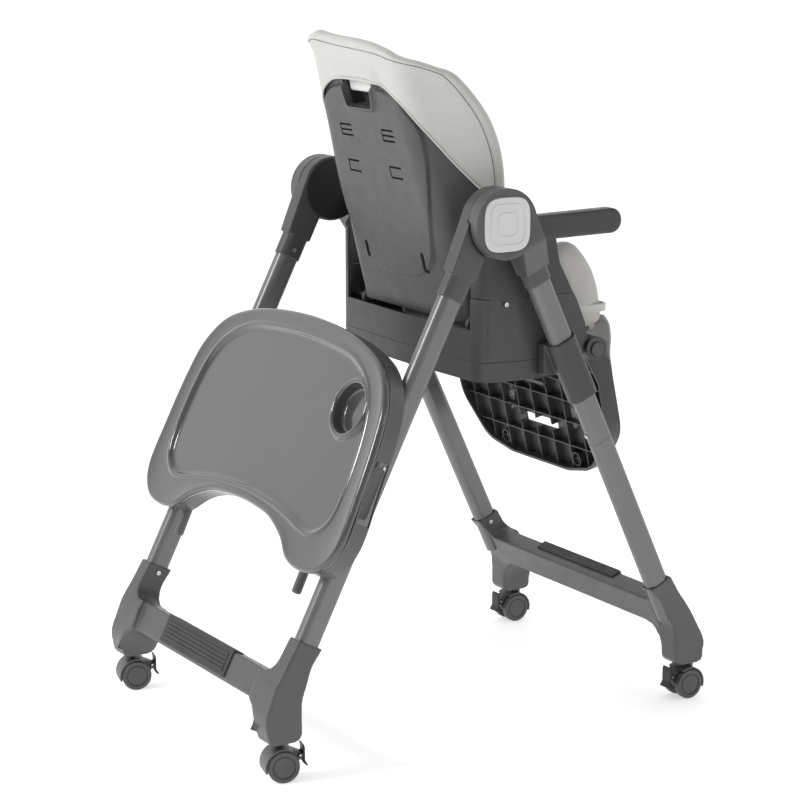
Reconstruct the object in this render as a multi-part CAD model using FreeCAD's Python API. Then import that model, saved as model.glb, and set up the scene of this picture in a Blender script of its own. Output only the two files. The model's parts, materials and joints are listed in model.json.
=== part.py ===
import FreeCAD, Part
import math
import os

V = FreeCAD.Vector
os.makedirs("parts", exist_ok=True)

# ---------------------------------------------------------------------------
# Baby high chair. Millimetres, +Z up, floor at Z = 0. The child faces -Y and
# +X is the child's left. Y = 0 is midway between the front and rear wheels.
# ---------------------------------------------------------------------------

# legs and hub
HUB = V(0, -6, 795)             # fold axis, along X
HUB_R = 53.0
LEG_X = 250.0                   # both leg planes, each side
REAR_LEAN = 26.73               # from vertical, foot towards +Y
FRONT_LEAN = -24.97             # foot towards -Y
REAR_OFF = 22.0                 # leg centre line behind the hub axis
FRONT_OFF = -29.4               # and in front of it
TUBE_X, TUBE_Y, TUBE_R, TUBE_WALL = 25.0, 38.0, 11.0, 1.6
ARM_X, ARM_Y, ARM_R = 29.0, 43.0, 13.0          # plastic round the tube
REAR_ARM_END, FRONT_ARM_END = -133.0, -118.5    # along the leg, from the hub
REAR_FOOT_TOP, FRONT_FOOT_TOP = -677.0, -670.4
FOOT_GRIP = 66.0                # length of tube inside each foot
HUB_SPLIT = 257.75              # X of the seam between the two hub halves
HUB_GAP = 0.5
HUB_FACE = 282.0
FOOT_BASE_Z = 58.0

# castors
WHEEL_R, WHEEL_W, WHEEL_IN = 24.0, 11.0, 9.0
TRAIL = 9.0
CASTOR_Y = {"rear": 372.0, "front": -384.0}
CASTOR_TURN = {"rear": -14.0, "front": 0.0}
STEM_R = 4.0

# seat
SEAT_X = 220.0                  # half width of the housing
SEAT_WALL = 4.0
BAND_Z = (545.0, 575.0)
HOUSING_Z = (575.6, 671.6)
FLOOR_Z = 590.0
ARMREST_TOP = 797.0
SLEEVE_Z = (-322.0, -220.0)     # along the front leg, from the hub
RECLINE = V(0, -30, 625)
RECLINE_LEAN = -14.5
BACK_Y = 16.8                   # rear face of the backrest, from its hinge
BACK_NOTCH = 184.0              # half width of the gap that it leans back through
LEGREST = V(0, -210.7, 581)
LEGREST_LEAN = -12.0
PIN_SEAT = 211.0                # outer end of the recline pins, in the housing wall
PIN_FIT = 0.06

# tray
TRAY_TILT = 25.0                # from vertical, hung on the rear legs
TRAY_AT = V(0, 195.7, 443.2)    # on the rear legs' centre line
TRAY_RIM = 58.3                 # rim, out from that line
TRAY_UNDER = 20.5               # underside, just off the tubes


# ----------------------------- helpers -------------------------------------
def put(axis, a, b, at):
    """A point given in the plane across one axis."""
    return {"x": V(at, a, b), "y": V(a, at, b), "z": V(a, b, at)}[axis]


def outline(points, axis, at):
    """Closed wire through (a, b) or (a, b, corner radius) points."""
    pts = [(V(p[0], p[1], 0), p[2] if len(p) > 2 else 0.0) for p in points]
    stops = []
    for i, (p, r) in enumerate(pts):
        to_prev = pts[i - 1][0] - p
        to_next = pts[(i + 1) % len(pts)][0] - p
        if r <= 0:
            stops.append((p, None, p))
            continue
        half = to_prev.getAngle(to_next) / 2
        back = r / math.tan(half)
        start = p + to_prev.normalize() * back
        end = p + to_next.normalize() * back
        middle = (start + end) * 0.5 - p
        reach = r / math.sin(half) - r
        stops.append((start, p + middle.normalize() * reach, end))
    edges = []
    for i, (start, mid, end) in enumerate(stops):
        a, b = put(axis, start.x, start.y, at), put(axis, end.x, end.y, at)
        if mid is not None:
            edges.append(Part.Arc(a, put(axis, mid.x, mid.y, at), b).toShape())
        nxt = stops[(i + 1) % len(stops)][0]
        c = put(axis, nxt.x, nxt.y, at)
        if (c - b).Length > 1e-6:
            edges.append(Part.makeLine(b, c))
    return Part.Wire(edges)


def prism(points, axis, lo, hi):
    way = {"x": V(1, 0, 0), "y": V(0, 1, 0), "z": V(0, 0, 1)}[axis]
    return Part.Face(outline(points, axis, lo)).extrude(way * (hi - lo))


def bar(x0, x1, y0, y1, z0, z1, r=0.0, axis="z"):
    """A box, with the four edges along one axis rounded."""
    spans = {"x": (y0, y1, z0, z1, x0, x1),
             "y": (x0, x1, z0, z1, y0, y1),
             "z": (x0, x1, y0, y1, z0, z1)}[axis]
    a0, a1, b0, b1, lo, hi = spans
    return prism([(a0, b0, r), (a1, b0, r), (a1, b1, r), (a0, b1, r)], axis, lo, hi)


def rod(centre, way, r, length):
    return Part.makeCylinder(r, length, centre, way)


def xrod(x0, x1, y, z, r):
    return Part.makeCylinder(r, x1 - x0, V(x0, y, z), V(1, 0, 0))


def join(*shapes):
    whole = shapes[0]
    for s in shapes[1:]:
        whole = whole.fuse(s)
    return whole.removeSplitter()


def cut(shape, *tools):
    for t in tools:
        shape = shape.cut(t)
    return shape


def mirror(shape):
    return shape.mirror(V(0, 0, 0), V(1, 0, 0))


def placed(shape, origin, lean):
    """From a part's own frame into the chair: lean about X, then move."""
    moved = shape.copy()
    moved.rotate(V(0, 0, 0), V(1, 0, 0), lean)
    moved.translate(origin)
    return moved


def soften(shape, radius, keep):
    """Round the edges for which keep(edge) is true."""
    edges = [e for e in shape.Edges if keep(e)]
    return shape.makeFillet(radius, edges) if edges else shape


def save(name, *shapes):
    solids = [s for shape in shapes for s in shape.Solids]
    for s in solids:
        if not s.isValid() or s.Volume <= 0:
            raise ValueError("bad solid in " + name)
    whole = solids[0] if len(solids) == 1 else Part.makeCompound(solids)
    whole.exportStep("parts/" + name + ".step")
    print(name, len(solids), round(sum(s.Volume for s in solids) / 1000, 1), "cm3")


def save_pair(stem, left):
    save(stem + "_left", left)
    save(stem + "_right", mirror(left))


def rear(shape):
    return placed(shape, HUB, REAR_LEAN)


def front(shape):
    return placed(shape, HUB, FRONT_LEAN)


# ----------------------------- leg tubes -----------------------------------
def tube(off, top, bottom, grow=0.0, wall=TUBE_WALL):
    """Oval steel tube along the leg; wall 0 gives it solid, for cutting."""
    x, y, r = TUBE_X / 2 + grow, TUBE_Y / 2 + grow, TUBE_R + grow
    outer = bar(LEG_X - x, LEG_X + x, off - y, off + y, bottom, top, r)
    if not wall:
        return outer
    x, y, r = x - wall, y - wall, r - wall
    return outer.cut(bar(LEG_X - x, LEG_X + x, off - y, off + y, bottom, top, r))


def leg_tubes():
    save_pair("rear_tube", rear(tube(REAR_OFF, -64, REAR_FOOT_TOP - FOOT_GRIP)))
    left = tube(FRONT_OFF, -64, FRONT_FOOT_TOP - FOOT_GRIP)
    joint_z = -400.0
    groove = tube(FRONT_OFF, joint_z, joint_z - 0.8, 1.0, 0)
    groove = groove.cut(tube(FRONT_OFF, joint_z, joint_z - 0.8, -0.5, 0))
    save_pair("front_tube", front(left.cut(groove)))


# ----------------------------- hubs ----------------------------------------
BOLT_R = 6.0


def squircle(half_y, half_z, x):
    """A square with fully rounded sides, as one closed curve."""
    points = []
    for i in range(32):
        t = 2 * math.pi * i / 32
        c, s = math.cos(t), math.sin(t)
        k = (abs(c) ** 3.6 + abs(s) ** 3.6) ** (-1 / 3.6)
        points.append(V(x, half_y * c * k, half_z * s * k))
    curve = Part.BSplineCurve()
    curve.interpolate(points, PeriodicFlag=True)
    return Part.Wire(curve.toShape())


def squircle_plate(half_y, half_z, x0, x1):
    return Part.Face(squircle(half_y, half_z, x0)).extrude(V(x1 - x0, 0, 0))


BUTTON = (40.0, 40.5)


def hub_arm(off, end, side):
    """Side view of one hub half: the disc runs into its arm."""
    near, far = off - side * ARM_Y / 2, off + side * ARM_Y / 2
    plate = prism([(side * HUB_R * 0.985, -8), (far, -112), (far, end), (near, end),
                   (near, -20)], "x", 230, HUB_FACE)
    return plate.fuse(xrod(230, HUB_FACE, 0, 0, HUB_R)).removeSplitter()


def hubs():
    clear = HUB_R + 1.2
    x0, x1 = LEG_X - ARM_X / 2, LEG_X + ARM_X / 2
    # rear half: flat ring inside the seam, and an arm at full width below it
    side = hub_arm(REAR_OFF, REAR_ARM_END, 1)
    width = bar(x0, x1, -80, 80, REAR_ARM_END, HUB_R + 1)
    ring = side.common(width)
    ring = ring.cut(xrod(HUB_SPLIT - HUB_GAP / 2, 290, 0, 0, clear))
    grip = bar(x0, x1, REAR_OFF - ARM_Y / 2, REAR_OFF + ARM_Y / 2,
               REAR_ARM_END, -96, ARM_R)
    ring = ring.cut(bar(x0 - 1, x1 + 1, -90, 90, REAR_ARM_END - 1, -96)).fuse(grip)
    ring = cut(ring, tube(REAR_OFF, -64, REAR_ARM_END - 1, 0, 0),
               xrod(230, 290, 0, 0, BOLT_R + PIN_FIT), xrod(230, HUB_SPLIT - 16.5, 0, 0, 9.5))
    save_pair("rear_hub", rear(ring.removeSplitter()))
    # front half: outer disc with the button pocket, and an arm that steps in
    side = hub_arm(FRONT_OFF, FRONT_ARM_END, -1)
    sweep = prism([(x0, FRONT_ARM_END), (x1, FRONT_ARM_END), (x1, -96, 20),
                   (HUB_FACE, -52, 20), (HUB_FACE, HUB_R + 1), (x0, HUB_R + 1)],
                  "y", -120, 80)
    disc = side.common(sweep)
    disc = disc.cut(xrod(x0 - 5, HUB_SPLIT + HUB_GAP / 2, 0, 0, clear))
    grip = bar(x0, x1, FRONT_OFF - ARM_Y / 2, FRONT_OFF + ARM_Y / 2,
               FRONT_ARM_END, -98, ARM_R)
    disc = disc.cut(bar(x0 - 1, x1 + 1, -90, 90, FRONT_ARM_END - 1, -98)).fuse(grip)
    pocket = squircle_plate(BUTTON[0] + 0.4, BUTTON[1] + 0.4, 271.5, HUB_FACE + 5)
    pocket = placed(pocket, V(0, 0, 0), -FRONT_LEAN)
    disc = cut(disc, pocket, tube(FRONT_OFF, -64, FRONT_ARM_END - 1, 0, 0),
               xrod(230, 290, 0, 0, BOLT_R))
    save_pair("front_hub", front(disc.removeSplitter()))
    # fold buttons, bolts and inner covers
    plate = squircle_plate(BUTTON[0], BUTTON[1], 277.5, 283.5)
    plate = soften(plate, 1.6, lambda e: e.BoundBox.XMin > 283.4)
    save_pair("fold_button", placed(plate, HUB, 0))
    bolt = join(xrod(HUB_SPLIT - 17, 271.5, 0, 0, BOLT_R),
                xrod(HUB_SPLIT - 21.4, HUB_SPLIT - 17, 0, 0, 9.0))
    bolt = placed(bolt, HUB, 0)
    save("hub_bolts", bolt, mirror(bolt))
    cover = xrod(x0 - 2.2, x0, 0, 0, HUB_R - 2.5)
    cover = placed(soften(cover, 1.0, lambda e: e.BoundBox.XMax < x0 - 2.1), HUB, 0)
    save("hub_inner_covers", cover, mirror(cover))


# ----------------------------- feet ----------------------------------------
REAR_SIDE = [(337.3, 209.9), (353, 184, 60), (377, 146, 60), (397, 95, 40),
             (389, FOOT_BASE_Z, 10), (344, FOOT_BASE_Z, 6), (336, 66, 3), (334, 120, 40),
             (316, 168, 60), (298.9, 190.5)]
FRONT_SIDE = [(-335.2, 208.7), (-350, 184, 60), (-376, 146, 60), (-404, 95, 40),
              (-399, FOOT_BASE_Z, 10), (-354, FOOT_BASE_Z, 6), (-346, 66, 3), (-343, 120, 40),
              (-317, 168, 60), (-296.2, 190.5)]


def base(which, lean, off, top, bar_top, bar_low, blend, side):
    """Two feet and the crossbar between them, as one moulding."""
    inner, outer = LEG_X - ARM_X / 2, LEG_X + ARM_X / 2
    low, foot_in, foot_out = top - 200, 230.0, 268.0
    half = [(foot_in, bar_low, 42), (foot_in, low), (foot_out, low), (foot_out, top - 110, 60),
            (outer, top), (inner, top), (inner, bar_top, blend)]
    other = [(-p[0],) + p[1:] for p in reversed(half)]
    face = prism(half + other, "y", off - 90, off + 70)
    thick = (off - 12, off + 20) if lean > 0 else (off - 20, off + 12)
    slab = bar(-foot_in, foot_in, thick[0], thick[1], bar_low, bar_top, 7, "x")
    profile = prism(side, "x", 200, 290)
    profile = profile.fuse(mirror(profile))
    feet = placed(face, HUB, lean).common(profile)
    cross = placed(slab, HUB, lean)
    web = placed(bar(-212, 212, thick[0] + 4, thick[1] - 4, bar_low, bar_top), HUB, lean)
    corner = placed(face, HUB, lean).common(placed(
        bar(-foot_in, foot_in, thick[0], thick[1], bar_low - 60, bar_top + 40, 7, "x"), HUB, lean))
    whole = join(feet, cross, web, corner)
    for sign in (1, -1):
        grip = tube(off, top + 20, top - FOOT_GRIP, 0, 0)
        grip = grip if sign > 0 else mirror(grip)
        whole = whole.cut(placed(grip, HUB, lean))
        stem = rod(V(sign * LEG_X, CASTOR_Y[which], FOOT_BASE_Z - 10), V(0, 0, 1),
                   STEM_R + PIN_FIT, 38)
        whole = whole.cut(stem)
    return whole.removeSplitter()


def tread(lean, off, bar_top, bar_low):
    """Ribbed pad that clips over the upper faces of the crossbar."""
    out = 1 if lean > 0 else -1
    face = off + out * 20
    lo, hi = sorted((face, face + out * 2.4))
    plate = bar(-109, 109, lo, hi, bar_low + 6, bar_top + 2.4, 0)
    lip_lo, lip_hi = sorted((face + out * 2.4, face - out * 16))
    lip = bar(-109, 109, lip_lo, lip_hi, bar_top, bar_top + 2.4, 0)
    shape = plate.fuse(lip)
    rows = 5
    pitch = (bar_top - bar_low - 16) / rows
    for i in range(rows):
        z = bar_low + 11 + pitch * (i + 0.5)
        r_lo, r_hi = sorted((face + out * 2.0, face + out * 3.8))
        shape = shape.fuse(bar(-100, 100, r_lo, r_hi, z - pitch * 0.3, z + pitch * 0.3, 0))
    return placed(shape.removeSplitter(), HUB, lean)


def screw(centre, way, r=3.6):
    """Pan head with a cross recess drilled as a round dimple."""
    head = rod(centre, way, r, 2.2)
    return head.cut(rod(centre + way * 1.2, way, r * 0.45, 2))


def lower_frame():
    spans = {"rear": (REAR_LEAN, REAR_OFF, REAR_FOOT_TOP, REAR_FOOT_TOP - 60,
                      REAR_FOOT_TOP - 107, 26, REAR_SIDE),
             "front": (FRONT_LEAN, FRONT_OFF, FRONT_FOOT_TOP, FRONT_FOOT_TOP - 36,
                       FRONT_FOOT_TOP - 86, 16, FRONT_SIDE)}
    inner = LEG_X - ARM_X / 2
    for which, (lean, off, top, bar_top, bar_low, blend, side) in spans.items():
        save(which + "_base", base(which, lean, off, top, bar_top, bar_low, blend, side))
        save(which + "_tread", tread(lean, off, bar_top, bar_low))
        arm_end = REAR_ARM_END if which == "rear" else FRONT_ARM_END
        heads = [screw(V(inner, off, z), V(-1, 0, 0)) for z in (top - 12, arm_end + 14)]
        if which == "front":
            heads.append(screw(V(LEG_X, off + TUBE_Y / 2, -384), V(0, 1, 0), 3.2))
        else:
            heads.append(screw(V(LEG_X + TUBE_X / 2, off, -400), V(1, 0, 0), 3.0))
        heads = [placed(h, HUB, lean) for h in heads]
        save(which + "_fasteners", *(heads + [mirror(h) for h in heads]))


# ----------------------------- castors -------------------------------------
def castor(which, sign):
    """Twin-wheel castor, made about its stem and then turned and moved."""
    wheel_y, wheel_z = -TRAIL, WHEEL_R
    hood_in, hood_out = WHEEL_R + 1.2, WHEEL_R + 4.0
    hood_half = WHEEL_IN + WHEEL_W - 1.0
    web_half = WHEEL_IN - 1.5
    pin_y, pin_z = wheel_y - 27.0, wheel_z + 13.0
    # one wheel: tyre with a raised rim ring round a dished face
    wheel = xrod(WHEEL_IN, WHEEL_IN + WHEEL_W, wheel_y, wheel_z, WHEEL_R)
    wheel = soften(wheel, 2.0, lambda e: e.Length > 100 and e.BoundBox.XLength < 0.1)
    dish = xrod(WHEEL_IN + WHEEL_W - 1.4, 30, wheel_y, wheel_z, 17.5)
    wheel = wheel.cut(dish).fuse(xrod(WHEEL_IN + 4, WHEEL_IN + WHEEL_W - 0.5, wheel_y, wheel_z, 15.5))
    wheel = wheel.removeSplitter().cut(xrod(0, WHEEL_IN + 8, wheel_y, wheel_z, 3.0 + PIN_FIT))
    # housing: web between the wheels and a hood over the stem side
    web = prism([(wheel_y + 26, wheel_z - 8, 6), (wheel_y + 26, wheel_z + 12, 10),
                 (wheel_y + 8, wheel_z + 26, 6), (wheel_y - 14, wheel_z + 24, 8),
                 (pin_y - 3, pin_z + 3.5, 3), (pin_y - 3, pin_z - 3.5, 3),
                 (wheel_y - 16, wheel_z - 6, 6), (wheel_y, wheel_z - 12, 6)],
                "x", -web_half, web_half)
    wedge = prism([(wheel_y, wheel_z), (wheel_y - 24, wheel_z + 40), (wheel_y + 60, wheel_z + 60),
                   (wheel_y + 60, wheel_z - 18)], "x", -hood_half, hood_half)
    hood = xrod(-hood_half, hood_half, wheel_y, wheel_z, hood_out)
    hood = hood.cut(xrod(-hood_half, hood_half, wheel_y, wheel_z, hood_in)).common(wedge)
    neck = rod(V(0, 0, wheel_z + 14), V(0, 0, 1), 8.5, FOOT_BASE_Z - 0.8 - wheel_z - 14)
    for side in (1, -1):
        swept = xrod(min(side * (WHEEL_IN - 0.6), side * 30), max(side * (WHEEL_IN - 0.6), side * 30),
                     wheel_y, wheel_z, WHEEL_R + 1.2)
        neck = neck.cut(swept)
    body = join(web, hood, neck)
    body = cut(body, rod(V(0, 0, wheel_z + 8), V(0, 0, 1), STEM_R, 60),
               xrod(-20, 20, wheel_y, wheel_z, 3.0), xrod(-20, 20, pin_y, pin_z, 1.5))
    # steel stem, axle and pedal pin
    pins = [rod(V(0, 0, wheel_z + 8), V(0, 0, 1), STEM_R, FOOT_BASE_Z + 24 - wheel_z - 8),
            xrod(-WHEEL_IN - 7.5, WHEEL_IN + 7.5, wheel_y, wheel_z, 3.0),
            xrod(-web_half - 2.4, web_half + 2.4, pin_y, pin_z, 1.5)]
    # brake pedal: two cheeks on the pin and a leaf that the toe presses
    half = web_half + 2.4
    leaf = prism([(pin_y - 4.2, pin_z - 12, 2), (pin_y - 10, pin_z - 17, 0.6),
                  (pin_y - 11.5, pin_z - 15.5, 0.6), (pin_y - 6.8, pin_z - 8, 4),
                  (pin_y - 6.8, pin_z + 11, 4), (pin_y - 5.4, pin_z + 16, 0.6),
                  (pin_y - 3.2, pin_z + 16, 0.6), (pin_y - 4.2, pin_z + 9, 4)], "x", -half, half)
    cheek = xrod(web_half + 0.4, half, pin_y, pin_z, 3.6)
    cheek = cheek.fuse(bar(web_half + 0.4, half, pin_y - 5, pin_y, pin_z - 3, pin_z + 3))
    pedal = join(leaf, cheek, mirror(cheek))
    pedal = pedal.cut(xrod(-20, 20, pin_y, pin_z, 1.5 + PIN_FIT))

    def at_foot(shape):
        moved = shape.copy()
        if which == "front":
            moved.rotate(V(0, 0, 0), V(0, 0, 1), 180)
        moved.rotate(V(0, 0, 0), V(0, 0, 1), CASTOR_TURN[which])
        moved.translate(V(sign * LEG_X, CASTOR_Y[which], 0))
        return moved

    name = "castor_" + which + ("_left_" if sign > 0 else "_right_")
    save(name + "housing", at_foot(body))
    save(name + "wheels", at_foot(wheel), at_foot(mirror(wheel)))
    save(name + "pins", *[at_foot(p) for p in pins])
    save(name + "brake", at_foot(pedal))


# ----------------------------- seat ----------------------------------------
def seat_plan(inset, front_y):
    """Half-closed plan of the seat, from the front edge round the back."""
    x = SEAT_X - inset
    return [(-x, front_y), (x, front_y), (x, -70 - inset, 60), (x - 9, -6 - inset, 30),
            (0, 2 - inset, 900), (-x + 9, -6 - inset, 30), (-x, -70 - inset, 60)]


def seat_walls(front_y, z0, z1, wall):
    outer = prism(seat_plan(0, front_y), "z", z0, z1)
    return outer.cut(prism(seat_plan(wall, front_y - 1), "z", z0 - 1, z1 + 1))


SIDE_FRONT = [(-137, 757), (-144, 721), (-176.6, 660), (-192.2, 624), (-198.4, 595.6), (-199, 540)]


def seat_frame():
    # band: the carriage that ties the two sleeves together round the back
    band = seat_walls(-176, BAND_Z[0], BAND_Z[1], 26)
    band = band.cut(seat_walls(-170, BAND_Z[0] - 1, BAND_Z[1] - 4, 22))
    band = band.fuse(seat_walls(-176, BAND_Z[0], BAND_Z[1], SEAT_WALL)).removeSplitter()
    save("seat_band", band)
    # housing: walls, floor with a raised front edge, and legrest lugs
    walls = seat_walls(-205, HOUSING_Z[0], HOUSING_Z[1], SEAT_WALL)
    ahead = prism(SIDE_FRONT + [(-300, 540), (-300, 757)], "x", -230, 230)
    walls = walls.cut(ahead)
    window = bar(-BACK_NOTCH, BACK_NOTCH, -30, 10, 622.6, 700)
    floor = prism(seat_plan(SEAT_WALL - 0.5, -198), "z", FLOOR_Z, FLOOR_Z + 4)
    lip = bar(-202, 202, -232, -190, FLOOR_Z, FLOOR_Z + 4, 10)
    lugs = []
    for sign in (1, -1):
        lug = xrod(194, 205, LEGREST.y, LEGREST.z, 15)
        lug = lug.fuse(bar(194, 205, LEGREST.y - 8, -170, LEGREST.z - 2, FLOOR_Z + 4))
        lug = lug.cut(xrod(190, 210, LEGREST.y, LEGREST.z, 6))
        boss = xrod(PIN_SEAT - 9, PIN_SEAT + 1, RECLINE.y, RECLINE.z, 11)
        lugs += [lug, boss] if sign > 0 else [mirror(lug), mirror(boss)]
    housing = join(walls.cut(window), floor, lip, *lugs)
    knuckle = xrod(205.5, 230, LEGREST.y, LEGREST.z, 21)
    bore = xrod(190, PIN_SEAT, RECLINE.y, RECLINE.z, 5)
    housing = cut(housing, knuckle, mirror(knuckle), bore, mirror(bore))
    for sign in (1, -1):
        housing = housing.cut(bar(sign * 164.5 - 0.5, sign * 164.5 + 0.5, -2, 10, 576, 604))
    save("seat_housing", housing)
    back_pin = xrod(150, PIN_SEAT, RECLINE.y, RECLINE.z, 5)
    leg_pin = xrod(194, 210, LEGREST.y, LEGREST.z, 6)
    save("seat_pivot_pins", back_pin, mirror(back_pin), leg_pin, mirror(leg_pin))
    head = screw(V(SEAT_X, -46, 664), V(1, 0, 0), 3.4)
    save("seat_screws", head, mirror(head))


def armrests():
    """Upper side panel and armrest bar, one moulding each side."""
    walls = seat_walls(-205, HOUSING_Z[1] + 0.4, 780, SEAT_WALL)
    side = prism([(20, 660), (20, 726), (-20, 748, 16), (-50, 790), (-137, 790), (-137, 757),
                  (-144, 721, 40), (-176.6, 660)], "x", BACK_NOTCH, SEAT_X + 1)
    panel = walls.common(side)
    reach = prism([(-54, 757.5, 8), (-253, 760, 19), (-253, 799, 19), (-54, ARMREST_TOP - 1.5, 14)],
                  "x", 204, 230)
    reach = soften(reach, 5.0, lambda e: e.BoundBox.XLength < 0.1)
    whole = panel.fuse(reach).removeSplitter()
    save_pair("armrest", whole)


def sleeves():
    """Guides that slide on the front tubes, each with a bracket to the band."""
    lo, hi = SLEEVE_Z
    x0, x1 = LEG_X - 17, LEG_X + 16.5
    body = bar(x0, x1, FRONT_OFF - 24, FRONT_OFF + 24, lo, hi, 15)
    arm = prism([(-103, 552), (-103, 600), (-150, 600), (-160, 552)], "x", SEAT_X, LEG_X - 10)
    sleeve = front(body).fuse(arm).cut(front(tube(FRONT_OFF, hi + 5, lo - 60, 0.3, 0)))
    save_pair("height_sleeve", sleeve.removeSplitter())


def seat_soft():
    """Liner over the seat floor with a bolster each side, and the harness."""
    top = FLOOR_Z + 4 + 36
    base_pad = bar(-192, 192, -246, -58, FLOOR_Z + 4, top, 14, "x")
    side = prism([(-60, 610, 6), (-60, 668, 30), (-118, 700, 30), (-146, 744, 14), (-182, 752, 24),
                  (-226, 704, 40), (-240, 640, 20), (-240, 606, 6)], "x", 172, 198)
    save("seat_pad", join(base_pad, side, mirror(side)))
    strap = bar(-14, 14, -136, -133.6, top, top + 46, 0)
    lap = [bar(s * 95 - 60, s * 95 + 60, -116, -92, top, top + 2.4, 0) for s in (1, -1)]
    save("lap_harness", strap, *lap)
    buckle = bar(-24, 24, -142, -128, top + 46, top + 92, 8, "y")
    recess = rod(V(0, -150, top + 69), V(0, 1, 0), 12.4, 16)
    buckle = buckle.cut(recess)
    save("harness_buckle", buckle)
    save("buckle_button", rod(V(0, -144.5, top + 69), V(0, 1, 0), 12.0, 6))


# ----------------------------- backrest ------------------------------------
# height up the back, half width of the rear face, half width at the wings' front
# edge, and how far the wings come forward
BACK_SECTIONS = [(8, 148, 158, 34), (70, 148, 166, 58), (150, 144, 178, 84), (230, 138, 190, 98),
                 (300, 130, 192, 96), (360, 122, 184, 78), (404, 112, 166, 54), (430, 100, 136, 34)]
BACK_TOP = 430.0


def u_wire(z, rear_half, wing_half, depth, grow, wall):
    """U-shaped section, open to the front, as a closed wire."""
    y = BACK_Y + grow
    wing, bend, flat = wing_half + grow, rear_half + 10 + grow, rear_half - 4
    out = [(flat, y), (bend, y - 20 - grow), (wing, y - depth - grow)]
    back = [(flat - wall * 0.4, y - wall), (bend - wall, y - wall - 20 - grow),
            (wing - wall, y - depth - grow)]
    left = [(-a, b) for a, b in reversed(out)]
    left_back = [(-a, b) for a, b in back]
    pts = [V(a, b, z) for a, b in left + out + back[::-1] + left_back]
    return Part.makePolygon(pts + pts[:1])


def u_shell(sections, grow, wall):
    return Part.makeLoft([u_wire(*s, grow, wall) for s in sections], True, True)


def backrest():
    shell = u_shell(BACK_SECTIONS, 0, 4)
    top_cap = prism([(-96, BACK_Y - 30, 12), (96, BACK_Y - 30, 12), (98, BACK_Y, 6), (-98, BACK_Y, 6)],
                    "z", BACK_TOP - 4, BACK_TOP)
    half_panel = [(98, 70, 18), (131, 296, 70), (96, 352, 50), (56, 372, 12)]
    panel = prism([(-x, z, r) for x, z, r in half_panel] + half_panel[::-1], "y",
                  BACK_Y - 0.5, BACK_Y + 3.7)
    surround = prism([(-46, 334, 12), (46, 334, 12), (54, 392, 10), (-54, 392, 10)], "y",
                     BACK_Y - 0.5, BACK_Y + 9)
    surround = soften(surround, 4, lambda e: e.BoundBox.YMin > BACK_Y + 8.9)
    shell = join(shell, top_cap, panel, surround)
    slots = []
    for z, bars in ((300, (-1, 0, 1)), (241, (-1, 1))):
        for x in (62.5, -62.5):
            for k in bars:
                slots.append(bar(x - 17, x + 15, -10, 30, z + 8.5 * k - 1.6, z + 8.5 * k + 1.6))
            slots.append(bar(x + 15, x + 18, -10, 30, z - 10.1, z + 10.1))
    for x in (84, -84):
        slots.append(bar(x - 4.5, x + 4.5, -10, 30, 79, 115, 4.4, "y"))
    handle = prism([(-37, 341, 6), (37, 341, 6), (44, 388, 6), (-44, 388, 6)], "y", -10, 30)
    shell = cut(shell, handle, *slots)
    box = prism([(-46, 337, 6), (46, 337, 6), (53, 402, 6), (-53, 402, 6)], "y",
                BACK_Y - 26, BACK_Y - 3.9)
    box = box.cut(prism([(-43, 340, 6), (43, 340, 6), (50, 399, 6), (-50, 399, 6)], "y",
                        BACK_Y - 23, BACK_Y))
    lug = xrod(151, 161, 0, 0, 14).fuse(bar(151, 161, 0, BACK_Y - 3.9, -10, 30))
    lug = lug.cut(xrod(150, 162, 0, 0, 5 + PIN_FIT))
    shell = join(shell, box, lug, mirror(lug))
    shell = shell.cut(join(xrod(149, 163, 0, 0, 5 + PIN_FIT), xrod(-163, -149, 0, 0, 5 + PIN_FIT)))
    save("backrest_shell", placed(shell, RECLINE, RECLINE_LEAN))
    lever = bar(-38, 38, BACK_Y - 20, BACK_Y - 5, 361, 386, 5, "x")
    save("recline_lever", placed(lever, RECLINE, RECLINE_LEAN))
    # padding in front of the shell, between the wings
    pad = prism([(-124, BACK_Y - 52, 14), (124, BACK_Y - 52, 14), (140, BACK_Y - 26.5, 6),
                 (-140, BACK_Y - 26.5, 6)], "z", 30, 330)
    save("backrest_pad", placed(pad, RECLINE, RECLINE_LEAN))
    # hood of the cover, over the top and the outside of the wings
    upper = [s for s in BACK_SECTIONS if s[0] >= 150]
    hood = u_shell(upper, 5.4, 5)
    cap = prism([(-104, BACK_Y - 36, 12), (104, BACK_Y - 36, 12), (104, BACK_Y + 5.4, 8),
                 (-104, BACK_Y + 5.4, 8)], "z", BACK_TOP, BACK_TOP + 10)
    keep = prism([(60, 460), (60, 394), (-6, 378), (-84, 232), (-120, 190), (-140, 460)],
                 "x", -230, 230)
    hood = join(hood.common(keep), cap).cut(shell)
    save("backrest_cover", placed(hood, RECLINE, RECLINE_LEAN))
    straps = []
    for sign in (1, -1):
        x = sign * 55
        straps.append(bar(x - 12, x + 12, BACK_Y - 54.6, BACK_Y - 52.2, 70, 300, 0))
    save("shoulder_straps", *[placed(s, RECLINE, RECLINE_LEAN) for s in straps])


# ----------------------------- legrest -------------------------------------
def legrest_face(inset, top=-42.0):
    x, low = 212.0 - inset, -234.0 + inset
    return [(-x, top - inset), (x, top - inset), (x, -150, 60), (x - 60, low + 14, 60), (x - 130, low, 90),
            (-x + 130, low, 90), (-x + 60, low + 14, 60), (-x, -150, 60)]


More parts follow.
